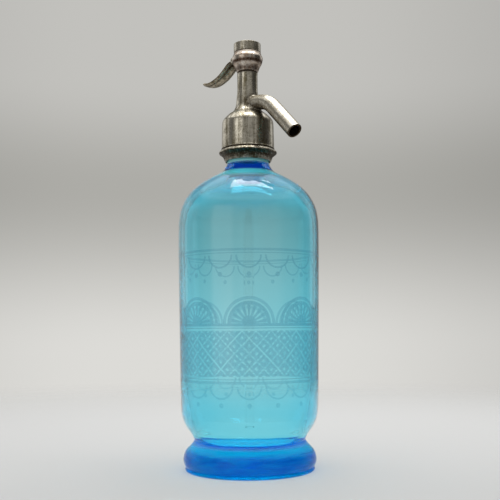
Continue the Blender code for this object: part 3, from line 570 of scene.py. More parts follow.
# Film and coat start at the foot's value, and between each two heights they go to the value behind them.
FOOT_FILM = 0.2
FILM = ((11.0, 15.0, 0.4), (16.0, 20.0, 0.0), (180.0, 194.0, 0.13), (194.0, 201.0, 0.6),
        (202.4, 203.4, 0.0), (208.8, 209.6, 1.0))
FOOT_COAT = 0.08
COAT = ((24.0, 30.0, 1.0), (178.0, 196.0, 0.45))
COAT_IOR = 1.5
GLASS_IOR = 1.18
TUBE_IOR = 1.02
PASSED = (0.01, 0.865, 0.996, 1.0)  # the linear colour that the glass lets through
CORD_SIZE = 14.0
CORD_DEPTH = 0.8
SEED_SIZE = 13.0
SEED_DEPTH = 0.15
GLASS_WAVE_SIZE = 30.0
GLASS_WAVE_DEPTH = 0.25


def etched_glass(name):
    """Copper-blue soda-lime glass, mould-blown and fire-polished: clear, coloured by its depth, with small
    seeds, and with a pattern bitten by acid into the outer face, which scatters light and looks greyer. The
    thick root of the neck is deep blue, and a thin film on the shoulder and the foot catches the light. The
    IOR is low under a coat of 1.5, because the wall is drawn thicker than a blown one and would bend the
    view too far."""
    material, tree, out = blank(name)
    place = add(tree, "TexCoord").outputs["Object"]
    x, y, z = add(tree, "SeparateXYZ", {0: place}).outputs
    known = {"x": x, "y": y, "z": z}
    for result, operation, *terms in ETCHING:
        feeds = {k: known.get(term, term) for k, term in enumerate(terms)}
        known[result] = add(tree, "Math", feeds, operation=operation).outputs[0]
    flat = add(tree, "CombineXYZ", {0: x, 1: y}).outputs[0]
    radius = add(tree, "VectorMath", {0: flat}, operation="LENGTH").outputs["Value"]
    outside = add(tree, "Math", {0: radius, 1: ETCHED_RADIUS * MM}, operation="GREATER_THAN").outputs[0]
    bitten = add(tree, "Math", {0: known["all"], 1: outside}, operation="MULTIPLY").outputs[0]
    roughness = add(tree, "MapRange", {"Value": bitten, "To Max": 0.25}).outputs[0]
    film = FOOT_FILM
    for low, high, share in FILM:
        film = add(tree, "MapRange", {"Value": z, "From Min": low * MM, "From Max": high * MM, "To Min": film,
                                      "To Max": share}, interpolation_type="SMOOTHSTEP").outputs[0]
    polish = FOOT_COAT
    for low, high, share in COAT:
        polish = add(tree, "MapRange", {"Value": z, "From Min": low * MM, "From Max": high * MM,
                                        "To Min": polish, "To Max": share}).outputs[0]
    band = [add(tree, "MapRange", {"Value": z, "From Min": low * MM, "From Max": high * MM}).outputs[0]
            for low, high in NECK_BAND]
    band = add(tree, "Math", {0: band[0], 1: band[1]}, operation="SUBTRACT").outputs[0]
    foot, roll, lip = (add(tree, "MapRange", {"Value": z, "From Min": low * MM, "From Max": high * MM},
                           interpolation_type="SMOOTHSTEP").outputs[0]
                       for low, high in (FOOT_MASK, ROLL_MASK, LIP_PAINTED_LIGHT_MASK))
    rings = add(tree, "Mapping", {"Vector": place, "Scale": (1, 1, 6.0)}).outputs[0]
    rings = add(tree, "TexNoise", {"Vector": rings, "Scale": METRE / CORD_SIZE, "Detail": 4.0,
                                   "Roughness": 0.55, "Distortion": 0.3}).outputs[0]
    cords = add(tree, "MapRange", {"Value": rings, "From Min": 0.38, "From Max": 0.62}).outputs[0]
    haze = paint("#08ccf8")
    for share, code in ((cords, "#049ce0"), (roll, "#0ce6ff"), (foot, "#70f6ff")):
        haze = add(tree, "Mix", {FACTOR: share, FIRST: paint(code), SECOND: haze},
                   data_type="RGBA").outputs[MIXED]
    # painted light: a paler film colour above the neck band, offsetting the collar's shade
    haze = add(tree, "Mix", {FACTOR: lip, FIRST: haze, SECOND: paint("#a8f8ff")},
               data_type="RGBA").outputs[MIXED]
    low, high, most = HEEL_TINT
    heel = add(tree, "MapRange", {"Value": z, "From Min": low * MM, "From Max": high * MM, "To Max": most})
    tinted = add(tree, "MapRange", {"Value": film, "From Max": 0.5}).outputs[0]
    for share in (heel.outputs[0], foot):
        tinted = add(tree, "Math", {0: tinted, 1: share}, operation="MAXIMUM").outputs[0]
    colour = paint("#ffffff")
    for share, over in ((bitten, paint("#c9dae4")), (tinted, haze), (band, paint("#2a80d2"))):
        colour = add(tree, "Mix", {FACTOR: share, FIRST: colour, SECOND: over},
                     data_type="RGBA").outputs[MIXED]
    seeds = add(tree, "TexVoronoi", {"Vector": place, "Scale": METRE / SEED_SIZE}).outputs["Distance"]
    seeds = add(tree, "MapRange", {"Value": seeds, "From Min": 0.05, "From Max": 0.02}).outputs[0]
    waves = add(tree, "TexNoise", {"Vector": place, "Scale": METRE / GLASS_WAVE_SIZE, "Detail": 2.0})
    shape = add(tree, "Bump", {"Height": waves.outputs[0], "Distance": GLASS_WAVE_DEPTH * MM}).outputs[0]
    shape = add(tree, "Bump", {"Height": seeds, "Distance": SEED_DEPTH * MM, "Normal": shape}).outputs[0]
    rings = add(tree, "Math", {0: rings, 1: foot}, operation="MULTIPLY").outputs[0]
    shape = add(tree, "Bump", {"Height": rings, "Distance": CORD_DEPTH * MM, "Normal": shape}).outputs[0]
    clear = add(tree, "Math", {0: 1.0, 1: film}, operation="SUBTRACT").outputs[0]
    shader = add(tree, "BsdfPrincipled", {"Base Color": colour, "Roughness": roughness, "IOR": GLASS_IOR,
                                          "Transmission Weight": clear, "Normal": shape,
                                          "Coat Weight": polish, "Coat IOR": COAT_IOR,
                                          "Coat Roughness": 0.015})
    depth = add(tree, "VolumeAbsorption", {"Color": PASSED, "Density": 120.0})
    tree.links.new(shader.outputs[0], out.inputs["Surface"])
    tree.links.new(depth.outputs[0], out.inputs["Volume"])
    return material


def clear_glass(name):
    """Drawn soda-lime tube, polished: almost colourless, with fine lines along it from drawing. Its IOR is
    low for the same reason as the bottle's."""
    material, tree, out = blank(name)
    place = add(tree, "TexCoord").outputs["Object"]
    drawn = add(tree, "Mapping", {"Vector": place, "Scale": (1, 1, 0.03)}).outputs[0]
    lines = add(tree, "TexNoise", {"Vector": drawn, "Scale": METRE / 1.5, "Detail": 1.0})
    shape = add(tree, "Bump", {"Height": lines.outputs[0], "Distance": 0.02 * MM})
    shader = add(tree, "BsdfPrincipled", {"Base Color": paint("#ffffff"), "Roughness": 0.0, "IOR": TUBE_IOR,
                                          "Transmission Weight": 1.0, "Normal": shape.outputs[0]})
    tree.links.new(shader.outputs[0], out.inputs["Surface"])
    return material


def plain_solid(name, pale, dark, roughness, grain_mm, depth_mm):
    """A matt solid such as rubber, leather or stoneware: grain of grain_mm, in colour and in relief."""
    material, tree, out = blank(name)
    place = add(tree, "TexCoord").outputs["Object"]
    grain = add(tree, "TexNoise", {"Vector": place, "Scale": METRE / grain_mm, "Detail": 4.0}).outputs[0]
    colour = add(tree, "Mix", {FACTOR: grain, FIRST: paint(pale), SECOND: paint(dark)}, data_type="RGBA")
    gloss = add(tree, "MapRange", {"Value": grain, "To Min": roughness[0], "To Max": roughness[1]})
    shape = add(tree, "Bump", {"Height": grain, "Distance": depth_mm * MM})
    shader = add(tree, "BsdfPrincipled", {"Base Color": colour.outputs[MIXED], "Roughness": gloss.outputs[0],
                                          "Normal": shape.outputs[0]})
    tree.links.new(shader.outputs[0], out.inputs["Surface"])
    return material


# Cast brass under worn tin plate: warm grey, pitted and stained brown in its hollows
TIN_PLATE = worn_metal("tin_plated_casting", "#e2dccd", "#7c745e", "#3a2f22", (0.17, 0.36), streak=0.04,
                       pit_share=0.7, patch_share=0.4)
# The same on the cap, rubbed paler by the hand
CAP_PLATE = worn_metal("tin_plated_cap", "#ece6d8", "#9a927b", "#3a2f22", (0.17, 0.36), streak=0.04,
                       pit_share=0.6, patch_share=0.3)
# The same under better plate on the housing: smooth, browned where the hand rests
HOUSING_PLATE = worn_metal("polished_plated_casting", "#e8dfd4", "#bba48f", "#4e3829", (0.16, 0.3),
                           streak=0.4, cloud_mm=6.0, pit_share=0.3, wave_mm=0.03, patch_share=0.25)
# Drawn brass tube under newer plate: brighter, smoother, spotted
SPOUT_PLATE = worn_metal("plated_drawn_tube", "#dcd7ca", "#aaa291", "#4a3d2e", (0.22, 0.4), pit_mm=1.2,
                         pit_share=0.3, patch_share=0.2)
# Cast white metal, its plate rubbed off: brown grey and dull
LEVER_METAL = worn_metal("brown_white_metal", "#a89c87", "#6d634f", "#352b1e", (0.32, 0.5), cloud_mm=5.0)
# Turned brass, gone dull inside the head
TURNED_BRASS = worn_metal("turned_brass", "#d9b566", "#a9833f", "#5c4422", (0.2, 0.38), streak=8.0,
                          pit_share=0.2)
# Drawn steel spring wire
SPRING_WIRE = worn_metal("spring_steel_wire", "#b3b3b0", "#84837f", "#4d4a45", (0.22, 0.36), pit_share=0.15)
# Copper-blue and clear soda-lime glass
BLUE_GLASS = etched_glass("copper_blue_glass")
TUBE_GLASS = clear_glass("clear_tube_glass")
# Moulded rubber: nearly black, matt
RUBBER = plain_solid("moulded_rubber", "#262524", "#161616", (0.6, 0.75), 0.8, 0.02)
# Greased leather: dark brown, a little shiny where it is pressed
LEATHER = plain_solid("greased_leather", "#5d4b39", "#33271c", (0.4, 0.65), 0.9, 0.05)
# Salt-glazed stoneware: cream with grey specks, ground on its edge
STONEWARE = plain_solid("glazed_stoneware", "#e2ddd0", "#bdb6a6", (0.2, 0.4), 1.2, 0.02)


# ---- the pieces ----

def near(value, middle, width):
    """1 at the middle and 0 far from it: e^-((value - middle) / width)^2."""
    return np.exp(-((value - middle) / width) ** 2)


def soiled_and_shaded(piece, amount):
    """Writes on each point how much soil and painted shade lies there, as amount works it out from arrays of
    the points' x, y and z in mm and of how far their normals look up. Up to 1 it is broken by specks, and by
    2 it is whole."""
    mesh = piece.data
    place, normal = np.empty(len(mesh.vertices) * 3), np.empty(len(mesh.vertices) * 3)
    mesh.vertices.foreach_get("co", place)
    mesh.vertices.foreach_get("normal", normal)
    x, y, z = place.reshape(-1, 3).T / MM
    share = np.clip(amount(x, y, z, normal[2::3]), 0, 3)
    mesh.attributes.new("soil_and_shade", "FLOAT", "POINT").data.foreach_set("value", share)
    return piece


def dress(piece, body, slot, material, *nodes):
    """Gives a piece its body and its finish, and hides the CAD nodes that it stands for. slot is not used."""
    piece.data.materials.clear()
    piece.data.materials.append(material)
    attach(piece, body)
    if nodes:
        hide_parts(*nodes)
    return piece


def make_bottle():
    """The bottle as one closed surface. Its outline runs up the outside from the middle of the punt and
    down the inside to the middle of the floor. The inner wall lies at r + the sum of depth sin(waves a +
    z / rise) over the three rows of WALL_WAVES, because blown glass is never even inside. The waves fade
    out towards the axis and up the neck."""
    inner_side = BODY_RADIUS - GLASS_WALL
    outer = np.vstack([
        flow([(0, PUNT_DEPTH), (RIM_RADIUS - STANDING_WIDTH - PUNT_DEPTH / 2, PUNT_DEPTH / 2)], 10),
        eased([(RIM_RADIUS - STANDING_WIDTH, 0), (RIM_RADIUS - RIM_ROUND, 0), (RIM_RADIUS, RIM_ROUND),
               (RIM_RADIUS, RIM_HEIGHT - RIM_ROUND)], 0.3),
        flow(spread(ROLL_SHARES, (WAIST_RADIUS, RIM_HEIGHT), (FOOT_RADIUS, WAIST_HEIGHT)), 9)[::-1],
        flow(spread(COVE_SHARES, (WAIST_RADIUS, WAIST_HEIGHT), (HEEL_RADIUS, HEEL_HEIGHT)), 9)[::-1][1:],
        flow([(HEEL_RADIUS, HEEL_HEIGHT), (BODY_RADIUS, WIDEST_HEIGHT)], 12)[1:],
        flow(spread(SHOULDER_SHARES, (NECK_ROOT_RADIUS, SHOULDER_HEIGHT), (BODY_RADIUS, NECK_HEIGHT)), 12),
        eased([(NECK_RADIUS, NECK_HEIGHT + NECK_FLARE), (NECK_RADIUS, MOUTH_HEIGHT - LIP_HEIGHT),
               (LIP_RADIUS, MOUTH_HEIGHT - LIP_HEIGHT), (LIP_RADIUS, MOUTH_HEIGHT - LIP_ROUND),
               (LIP_RADIUS - LIP_ROUND, MOUTH_HEIGHT), (BORE_RADIUS + LIP_ROUND, MOUTH_HEIGHT),
               (BORE_RADIUS, MOUTH_HEIGHT - LIP_ROUND)], 0.5),
    ])
    inner = np.vstack([
        flow(spread(FLOOR_SHARES, (0, FLOOR_HEIGHT), (HEEL_RADIUS - GLASS_WALL, HEEL_HEIGHT)), 9),
        flow([(HEEL_RADIUS - GLASS_WALL, HEEL_HEIGHT), (inner_side, WIDEST_HEIGHT)], 12),
        flow(spread(SHOULDER_SHARES, (BORE_RADIUS, SHOULDER_HEIGHT),
                    (inner_side, NECK_HEIGHT - GLASS_WALL)), 12),
    ])
    grid = turned(np.vstack([outer, inner[::-1]]), 160)
    wall = grid[len(outer):]
    angle, z = np.arctan2(wall[..., 1], wall[..., 0]), wall[..., 2]
    radius = np.hypot(wall[..., 0], wall[..., 1])
    uneven = sum(size * np.sin(waves * angle + z / rise) for size, waves, rise in WALL_WAVES)
    uneven *= np.clip(radius / WAVES_RADIUS, 0, 1) * np.clip((WAVES_TOP - z) / WAVES_FADE, 0, 1)
    wall[..., :2] *= (1 + uneven / np.maximum(radius, 1))[..., None]
    bottle = skin("bottle_glass", (grid, False, True))
    bottle.visible_shadow = False  # lamps shine through it on to the table
    return dress(bottle, "siphon", "blue_glass", BLUE_GLASS, "bottle")


def make_dip_tube():
    """The glass dip tube with its flange, both fire-rounded."""
    outer = eased([(TUBE_BORE, TUBE_FOOT), (TUBE_RADIUS, TUBE_FOOT), (TUBE_RADIUS, TUBE_FLANGE_FOOT),
                   (TUBE_FLANGE, TUBE_FLANGE_FOOT), (TUBE_FLANGE, TUBE_TOP), (TUBE_BORE, TUBE_TOP)], 0.4)
    grid = turned(outer, 48)
    tube = skin("dip_tube_glass", (grid, True, True))
    tube.visible_shadow = False
    return dress(tube, "siphon", "clear_glass", TUBE_GLASS, "dip_tube")


def make_collar(name, start, node):
    """Half of the collar: a loop up its outer side and down its bore, carried round half a turn. The ends
    close on the loop's own middle line, half the gap short of the split."""
    below, above = ((FLANGE_RADIUS - inwards, FLANGE_EDGE + up) for inwards, up in FLANGE_CHAMFERS)
    outer = eased([(COLLAR_FLARE, COLLAR_FOOT), (HUB_RADIUS, COLLAR_FOOT), (HUB_TOP_RADIUS, HUB_TOP), below,
                   (FLANGE_RADIUS, FLANGE_EDGE), above, (FLANGE_TOP_RADIUS, FLANGE_TOP),
                   (SLEEVE_RADIUS, FLANGE_TOP), (SLEEVE_RADIUS, SLEEVE_TOP)],
                  (0.4, 0.6, 0.3, 0.3, 0.3, 0.2, 0.6))
    bore = np.interp(outer[:, 1], (COLLAR_FOOT, COLLAR_FLARE_TOP, SLEEVE_TOP),
                     (COLLAR_FLARE, COLLAR_BORE, COLLAR_BORE))
    bore = np.minimum(bore, outer[:, 0])
    loop = bored(outer, np.column_stack([bore, outer[:, 1]]))
    r, z = loop[:, :1], loop[:, 1:]
    short = SPLIT_GAP / 2 / r
    angle = start + short + (math.pi - 2 * short) * np.linspace(0, 1, 49)
    grid = np.stack([r * np.cos(angle), r * np.sin(angle), np.repeat(z, angle.shape[1], 1)], -1)
    middle = (grid + grid[::-1]) / 2
    grid = np.concatenate([middle[:, :1], grid, middle[:, -1:]], 1)

    def soil_and_shade(x, y, z, up):
        """Soil on the hub, painted shade under the flange's edge, where it is darkest, and hardly any above.
        """
        return np.where(z < HUB_TOP - 2.2, 0.6, np.where(z < FLANGE_EDGE - 0.3, 1.15, 0.05))

    half = soiled_and_shaded(skin(name, (grid, True, False)), soil_and_shade)
    return dress(half, "siphon", "cast_metal", TIN_PLATE, node)


# From the column's top down to the skirt
DOME_LINE = flow([(COLUMN_RADIUS, COLUMN_TOP),
                  *spread(DOME_SHARES, (COLUMN_RADIUS, DOME_FOOT), (SKIRT_RADIUS, DOME_TOP))], 10)


def make_head():
    """Skirt, dome and column, turned from one outline, with its bores and the hole for the spout."""
    outer = np.vstack([
        eased([(SKIRT_BORE, SKIRT_FOOT), (BEAD_RADIUS, SKIRT_FOOT),
               (BEAD_RADIUS - BEAD_DRAFT, BEAD_TOP - BEAD_SHOULDER), (SKIRT_RIM, BEAD_TOP),
               (SKIRT_RIM, BEAD_TOP + RIM_RISE)], 0.3),
        DOME_LINE[::-1],
    ])
    outer[-1] = (COLUMN_RADIUS - END_CHAMFER, COLUMN_TOP)
    outer[-2] = (COLUMN_RADIUS, COLUMN_TOP - END_CHAMFER)
    inner = [(SKIRT_BORE, CEILING), (SEAT_BORE, CEILING), (SEAT_BORE, SEAT_TOP), (VALVE_BORE, SEAT_TOP),
             (VALVE_BORE, PARTITION_FOOT), (ROD_HOLE, PARTITION_FOOT), (ROD_HOLE, PARTITION_TOP),
             (UPPER_BORE, PARTITION_TOP), (UPPER_BORE, COLUMN_TOP)]
    head = skin("head_casting", (turned(bored(outer, inner), 128), True, True))
    start, end = ((reach, 0, SPOUT_HEIGHT) for reach in SPOUT_HOLE)
    cut(head, along(0, SPOUT_RADIUS + SPOUT_CLEARANCE, start, end))

    def soil_and_shade(x, y, z, up):
        """Soil and painted shade in the crease round the spout's root, and soil at the seam and all along the
        skirt's foot.
        """
        # the ring round the spout's root is partly painted shade, darkening the crease where the spout meets
        # the column
        root = 0.95 * near(np.hypot(y, z - SPOUT_HEIGHT), 6.3, 1.5) * (x > 2)
        return root + 0.7 * near(z, COLUMN_TOP, 0.8) + 2.0 * near(z, SKIRT_FOOT, 0.6)

    soiled_and_shaded(head, soil_and_shade)
    return dress(head, "siphon", "cast_metal", TIN_PLATE, "head_body")


def spout_line(distance):
    """The place and the direction on the spout's centre line at a distance from its root: straight, then
    round the bend, then straight down at the spout's angle."""
    bend_end = SPOUT_RUN + SPOUT_BEND * SPOUT_ANGLE
    angle = np.clip((distance - SPOUT_RUN) / SPOUT_BEND, 0, SPOUT_ANGLE)
    past = np.maximum(distance - bend_end, 0)
    x = SPOUT_START + np.minimum(distance, SPOUT_RUN) + SPOUT_BEND * np.sin(angle) + past * np.cos(angle)
    z = SPOUT_HEIGHT - SPOUT_BEND * (1 - np.cos(angle)) - past * np.sin(angle)
    return x, z, angle


def make_spout():
    """The spout: a loop of (radius, distance) out along the tube and back in its bore, set square to its
    centre line. The bend is pressed 3% flat, as a bent tube is."""
    length = SPOUT_RUN + SPOUT_BEND * SPOUT_ANGLE + SPOUT_LENGTH
    bore = SPOUT_RADIUS - SPOUT_WALL
    stations = np.linspace(0, length - SPOUT_LIP, 60)
    outer = np.column_stack([np.full(60, SPOUT_RADIUS), stations])
    lip = eased([(SPOUT_RADIUS, length - SPOUT_LIP), (SPOUT_RADIUS, length), (bore, length),
                 (bore, length - SPOUT_LIP)], 0.4, 5)
    loop = np.vstack([outer, lip[1:-1], np.column_stack([np.full(60, bore), stations])[::-1]])
    r, distance = loop[:, :1], loop[:, 1:]
    x, z, angle = spout_line(distance)
    turn = np.arange(72) * TAU / 72
    flat = 1 - SPOUT_PRESSED * near(distance, SPOUT_RUN + PRESSED_LENGTH, PRESSED_LENGTH)
    up, side = r * flat * np.cos(turn), r * np.sin(turn)
    grid = np.stack([x + up * np.sin(angle), side, z + up * np.cos(angle)], -1)
    spout = skin("spout_tube", (grid, True, True))
    tip_x, tip_z = (float(value) for value in spout_line(length)[:2])

    def soil_and_shade(x, y, z, up):
        """Painted shade under the tube and all over the bore near the mouth, soil at its root, and darkness
        on the rim of its mouth.
        """
        ahead = ((x - tip_x) - (z - tip_z)) / math.sqrt(2)
        across = np.hypot(y, ((x - tip_x) + (z - tip_z)) / math.sqrt(2))
        # painted shade on the tube's underside, darker the more the surface looks down
        under = 0.85 * np.clip(-2.2 * up - 0.1, 0, 1)
        # painted shade inside the bore near the mouth
        inside = 2.0 * (across < bore + 0.3) * (x > tip_x - 14)
        return under + 0.6 * near(x, 6, 3) + near(ahead, 0.2, 0.55) + inside

    soiled_and_shaded(spout, soil_and_shade)
    return dress(spout, "siphon", "spout_metal", SPOUT_PLATE, "spout")


def make_solder():
    """The solder round the spout's root: for each angle a round the tube it hangs from the tube to the
    column as a hollow quarter round, whose width is 1 + 0.15 sin(3a + 1) + 0.1 sin(7a) times 1.5 mm."""
    turn = np.arange(96) * TAU / 96
    width = SOLDER_WIDTH * (1 + 0.15 * np.sin(3 * turn + 1) + 0.1 * np.sin(7 * turn))
    share = np.linspace(0, 1, 9)[:, None] * math.pi / 2
    away = width * (1 - np.cos(share))
    out = width * (1 - np.sin(share))
    radius = SPOUT_RADIUS - SOLDER_SINK + away
    y, z = radius * np.sin(turn), SPOUT_HEIGHT + radius * np.cos(turn)
    column = np.interp(z, DOME_LINE[::-1, 1], DOME_LINE[::-1, 0])
    x = np.sqrt(np.maximum(column ** 2 - y ** 2, 0)) + out
    face = np.stack([x, y, z], -1)
    back = face - np.array((SOLDER_DEPTH, 0, 0))
    back[0] = face[0] - np.array((SOLDER_ROOT_DEPTH, 0, 0))
    grid = np.concatenate([face, back[::-1]])
    solder = soiled_and_shaded(skin("spout_solder", (grid, True, True)), lambda x, y, z, up: np.full_like(x, 0.75))
    return dress(solder, "siphon", "cast_metal", TIN_PLATE)


def make_housing():
    """The round housing, turned from one outline, with the slot for the lever, the hole for its screw and
    the spot face that the screw's head sits in."""
    bulb = flow(spread(BULB_SHARES, (HOUSING_FOOT_RADIUS, HOUSING_FOOT), (BULB_RADIUS, HOUSING_TOP)), 10)
    bulb = bulb[::-1]
    outer = np.vstack([
        [(SPIGOT_RADIUS, SPIGOT_FOOT), (SPIGOT_RADIUS, HOUSING_FOOT),
         (HOUSING_FOOT_RADIUS - END_CHAMFER, HOUSING_FOOT)],
        bulb[1:-1],
        [(bulb[-1][0] - END_CHAMFER, HOUSING_TOP)],
    ])
    inner = [(ROD_PASSAGE, SPIGOT_FOOT), (ROD_PASSAGE, CHAMBER_FOOT),
             (CHAMBER_RADIUS - CHAMBER_CONE, CHAMBER_FOOT), (CHAMBER_RADIUS, CHAMBER_FOOT + CHAMBER_CONE),
             (CHAMBER_RADIUS, THREAD_FOOT - END_CHAMFER), (THREAD_RADIUS, THREAD_FOOT),
             (THREAD_RADIUS, HOUSING_TOP)]
    housing = skin("lever_housing_casting", (turned(bored(outer, inner), 120), True, True))
    x, _, z = PIVOT
    cut(housing,
        slab((-BULB_RADIUS - SLOT_PAST, -SLOT_HALF, z - SLOT_DROP),
             (-THREAD_RADIUS + SLOT_PAST, SLOT_HALF, z + SLOT_RISE)),
        along(1, PIN_HOLE, (x, -PIN_HOLE_HALF, z), (x, PIN_HOLE_HALF, z)),
        along(1, SPOT_FACE_RADIUS, (x, -PIN_HOLE_HALF, z), (x, SPOT_FACE, z)))

    def soil_and_shade(x, y, z, up):
        """Soil in the throat under the bulb and round the foot."""
        return 1.2 * near(z, THROAT_HEIGHT, 1.4) + 0.9 * near(z, HOUSING_FOOT + 1.6, 2.1)

    soiled_and_shaded(housing, soil_and_shade)
    return dress(housing, "siphon", "cast_metal", HOUSING_PLATE, "lever_housing")


def make_washer(name, outer, inner, low, node):
    """A thin leather washer, its edges rounded by pressing."""
    loop = eased([(inner, low), (outer, low), (outer, low + SEAM_HEIGHT), (inner, low + SEAM_HEIGHT)], 0.15)
    return dress(skin(name, (turned(loop, 96), True, True)), "siphon", "leather", LEATHER, node)


def make_cap():
    """The cap with the boss on its crown, hollow for the spring."""
    outer = eased([(0, BOSS_TOP), (BOSS_RADIUS, BOSS_TOP), (BOSS_RADIUS, CAP_TOP), (CAP_RADIUS, CAP_TOP),
                   (CAP_RADIUS, CAP_FOOT), (CAP_SPIGOT, CAP_FOOT), (CAP_SPIGOT, CAP_SPIGOT_FOOT),
                   (CAP_BORE, CAP_SPIGOT_FOOT), (CAP_BORE, CAP_CEILING), (0, CAP_CEILING)],
                  (BOSS_ROUND, 0.4, CAP_ROUND, 0.25, 0.1, 0.2, 0.2, 0.3), 6)
    cap = skin("top_cap_turned", (turned(outer, 120), False, True))

    def soil_and_shade(x, y, z, up):
        """Soil on the crown's edge, and a little round the foot."""
        return 0.6 * near(z, CAP_TOP, 0.5) * (np.hypot(x, y) > 5) + 0.3 * near(z, CAP_FOOT, 1.5)

    soiled_and_shaded(cap, soil_and_shade)
    return dress(cap, "siphon", "cast_metal", CAP_PLATE, "top_cap")


def make_spring():
    """The return spring: a wire round the helix (R cos a, R sin a, k a), closed at its ends. A ring of the
    wire lies across the helix, between the way out from the axis and the way square to that and to the
    helix."""
    low, high = (corner[2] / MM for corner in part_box("return_spring"))
    turn = np.linspace(0, TAU * SPRING_TURNS, 40 * SPRING_TURNS + 1)
    rise = (high - low - 2 * WIRE_RADIUS) / turn[-1]
    out = np.stack([np.cos(turn), np.sin(turn), 0 * turn], -1)
    forward = np.stack([-SPRING_RADIUS * np.sin(turn), SPRING_RADIUS * np.cos(turn), rise + 0 * turn], -1)
    square = np.cross(out, forward / np.hypot(SPRING_RADIUS, rise))
    ring = np.arange(12)[None, :, None] * TAU / 12
    middle = SPRING_RADIUS * out + (low + WIRE_RADIUS + rise * turn)[:, None] * np.array((0, 0, 1))
    grid = middle[:, None] + WIRE_RADIUS * (np.cos(ring) * out[:, None] + np.sin(ring) * square[:, None])
    spring = skin("return_spring_coil", (capped(grid), False, True))
    dress(spring, "siphon", "spring_steel", SPRING_WIRE, "return_spring")
    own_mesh(spring)
    return spring


def make_screw():
    """The lever's screw: shank and slotted head, turned about an axis along Y."""
    x, _, z = PIVOT
    face = SCREW_SEAT - SCREW_HEIGHT
    outline = eased([(0, SCREW_END), (PIN_RADIUS, SCREW_END), (PIN_RADIUS, SCREW_SEAT),
                     (SCREW_RADIUS, SCREW_SEAT), (SCREW_RADIUS, face), (0, face)], 0.25)
    grid = turned(outline, 48)
    grid = np.stack([grid[..., 0] + x, grid[..., 2], grid[..., 1] + z], -1)
    screw = skin("lever_screw_slotted", (grid, False, True))
    half = SCREW_SLOT / 2
    cut(screw, slab((x - SCREW_SLOT_REACH, face - SLOT_PAST, z - half),
                    (x + SCREW_SLOT_REACH, face + SCREW_SLOT_DEPTH, z + half)))
    return dress(screw, "siphon", "spout_metal", SPOUT_PLATE, "lever_screw")


def make_lever():
    """The lever: rounded sections carried along its curved line, half width h and half thickness t, with a
    point at (h cos a |cos a|^-0.2, t sin a). The rib under it is RIB_DEPTH sqrt(s) (1 - (2y / RIB_WIDTH)^4)
    deep, where s falls from 1 at its start to 0 at its end. Hub, arm and forked nose are plain upright loops
    behind it."""
    line = flow([(-LEVER_REACH * x, -LEVER_DROP * z) for x, z in LEVER_PATH_SHARES], 12)
    share = np.linspace(LEVER_ROOT_SHARE, LEVER_END_SHARE, 90)
    spot = share * (len(line) - 1)
    x, z = (np.interp(spot, np.arange(len(line)), line[:, k]) for k in (0, 1))
    dx, dz = np.gradient(x), np.gradient(z)
    size = np.hypot(dx, dz)
    up_x, up_z = dz / size, -dx / size
    run = np.clip((share - LEVER_TAPER_SHARE) / (1 - LEVER_TAPER_SHARE), 0, 1)
    taper = np.sqrt(np.maximum(0, 1 - run ** TIP_POWER))
    half = LEVER_WIDTH / 2 * (LEVER_TIP_SHARE + (1 - LEVER_TIP_SHARE) * taper)
    thinning = (1 - LEVER_THIN_SHARE) * (share - LEVER_ROOT_SHARE) / (1 - LEVER_ROOT_SHARE)
    high = LEVER_THICKNESS / 2 * (1 - thinning)
    angle = np.arange(56) * TAU / 56
    across = np.sign(np.cos(angle)) * np.abs(np.cos(angle)) ** SECTION_POWER
    y = half[:, None] * across
    rise = high[:, None] * np.sin(angle)
    rib_run = np.clip((RIB_END_SHARE - share) / (RIB_END_SHARE - RIB_START_SHARE), 0, 1)
    swell = RIB_DEPTH * np.sqrt(rib_run)[:, None] * np.clip(1 - (2 * y / RIB_WIDTH) ** 4, 0, 1)
    rise = rise - swell * (np.sin(angle) < -0.05)
    blade = np.stack([PIVOT[0] + x[:, None] + up_x[:, None] * rise, y,
                      PIVOT[2] + z[:, None] + up_z[:, None] * rise], -1)

    def upright(outline, low, high):
        """A flat outline of (x, z) from the pivot, as thick as the width between two values of y."""
        flat = np.array(outline, float)
        rows = [np.column_stack([flat[:, 0] + PIVOT[0], np.full(len(flat), value), flat[:, 1] + PIVOT[2]])
                for value in (low, high)]
        return capped(np.stack(rows))

    bow = np.linspace(0, TAU, 25)[:-1]
    arm = [(ARM_END, -ARM_HALF_HEIGHT), (0, -ARM_HALF_HEIGHT), (0, ARM_HALF_HEIGHT),
           (ARM_END, ARM_HALF_HEIGHT)]
    hub = np.column_stack([LEVER_HUB * np.cos(bow), LEVER_HUB * np.sin(bow)])
    front = bow[:13] - math.pi / 2
    tip = np.column_stack([NOSE_REACH + NOSE_RADIUS * np.cos(front),
                           -NOSE_DROP + NOSE_RADIUS * np.sin(front)])
    nose = np.vstack([NOSE_UNDER, tip, NOSE_OVER])
    loops = [capped(blade), upright(arm, -ARM_HALF, ARM_HALF), upright(hub, -ARM_HALF, ARM_HALF),
             upright(nose, -ARM_HALF, -FORK_HALF), upright(nose, FORK_HALF, ARM_HALF)]
    lever = skin("press_lever", *((points, False, True) for points in loops))

    def soil_and_shade(x, y, z, up):
        """Painted shade in the crease along the rib, and soil where the blade comes out of the housing and on
        the upright edges.
        """
        # painted shade: a dark line in the crease where the rib meets the blade's underside
        rib_crease_shade = 0.9 * near(np.abs(y), RIB_WIDTH / 2, 0.7) * (up < 0)
        return rib_crease_shade + 0.7 * near(x, -13, 4) + 0.8 * near(np.abs(up), 0.1, 0.25)

    soiled_and_shaded(lever, soil_and_shade)
    return dress(lever, "lever", "lever_metal", LEVER_METAL, "lever")


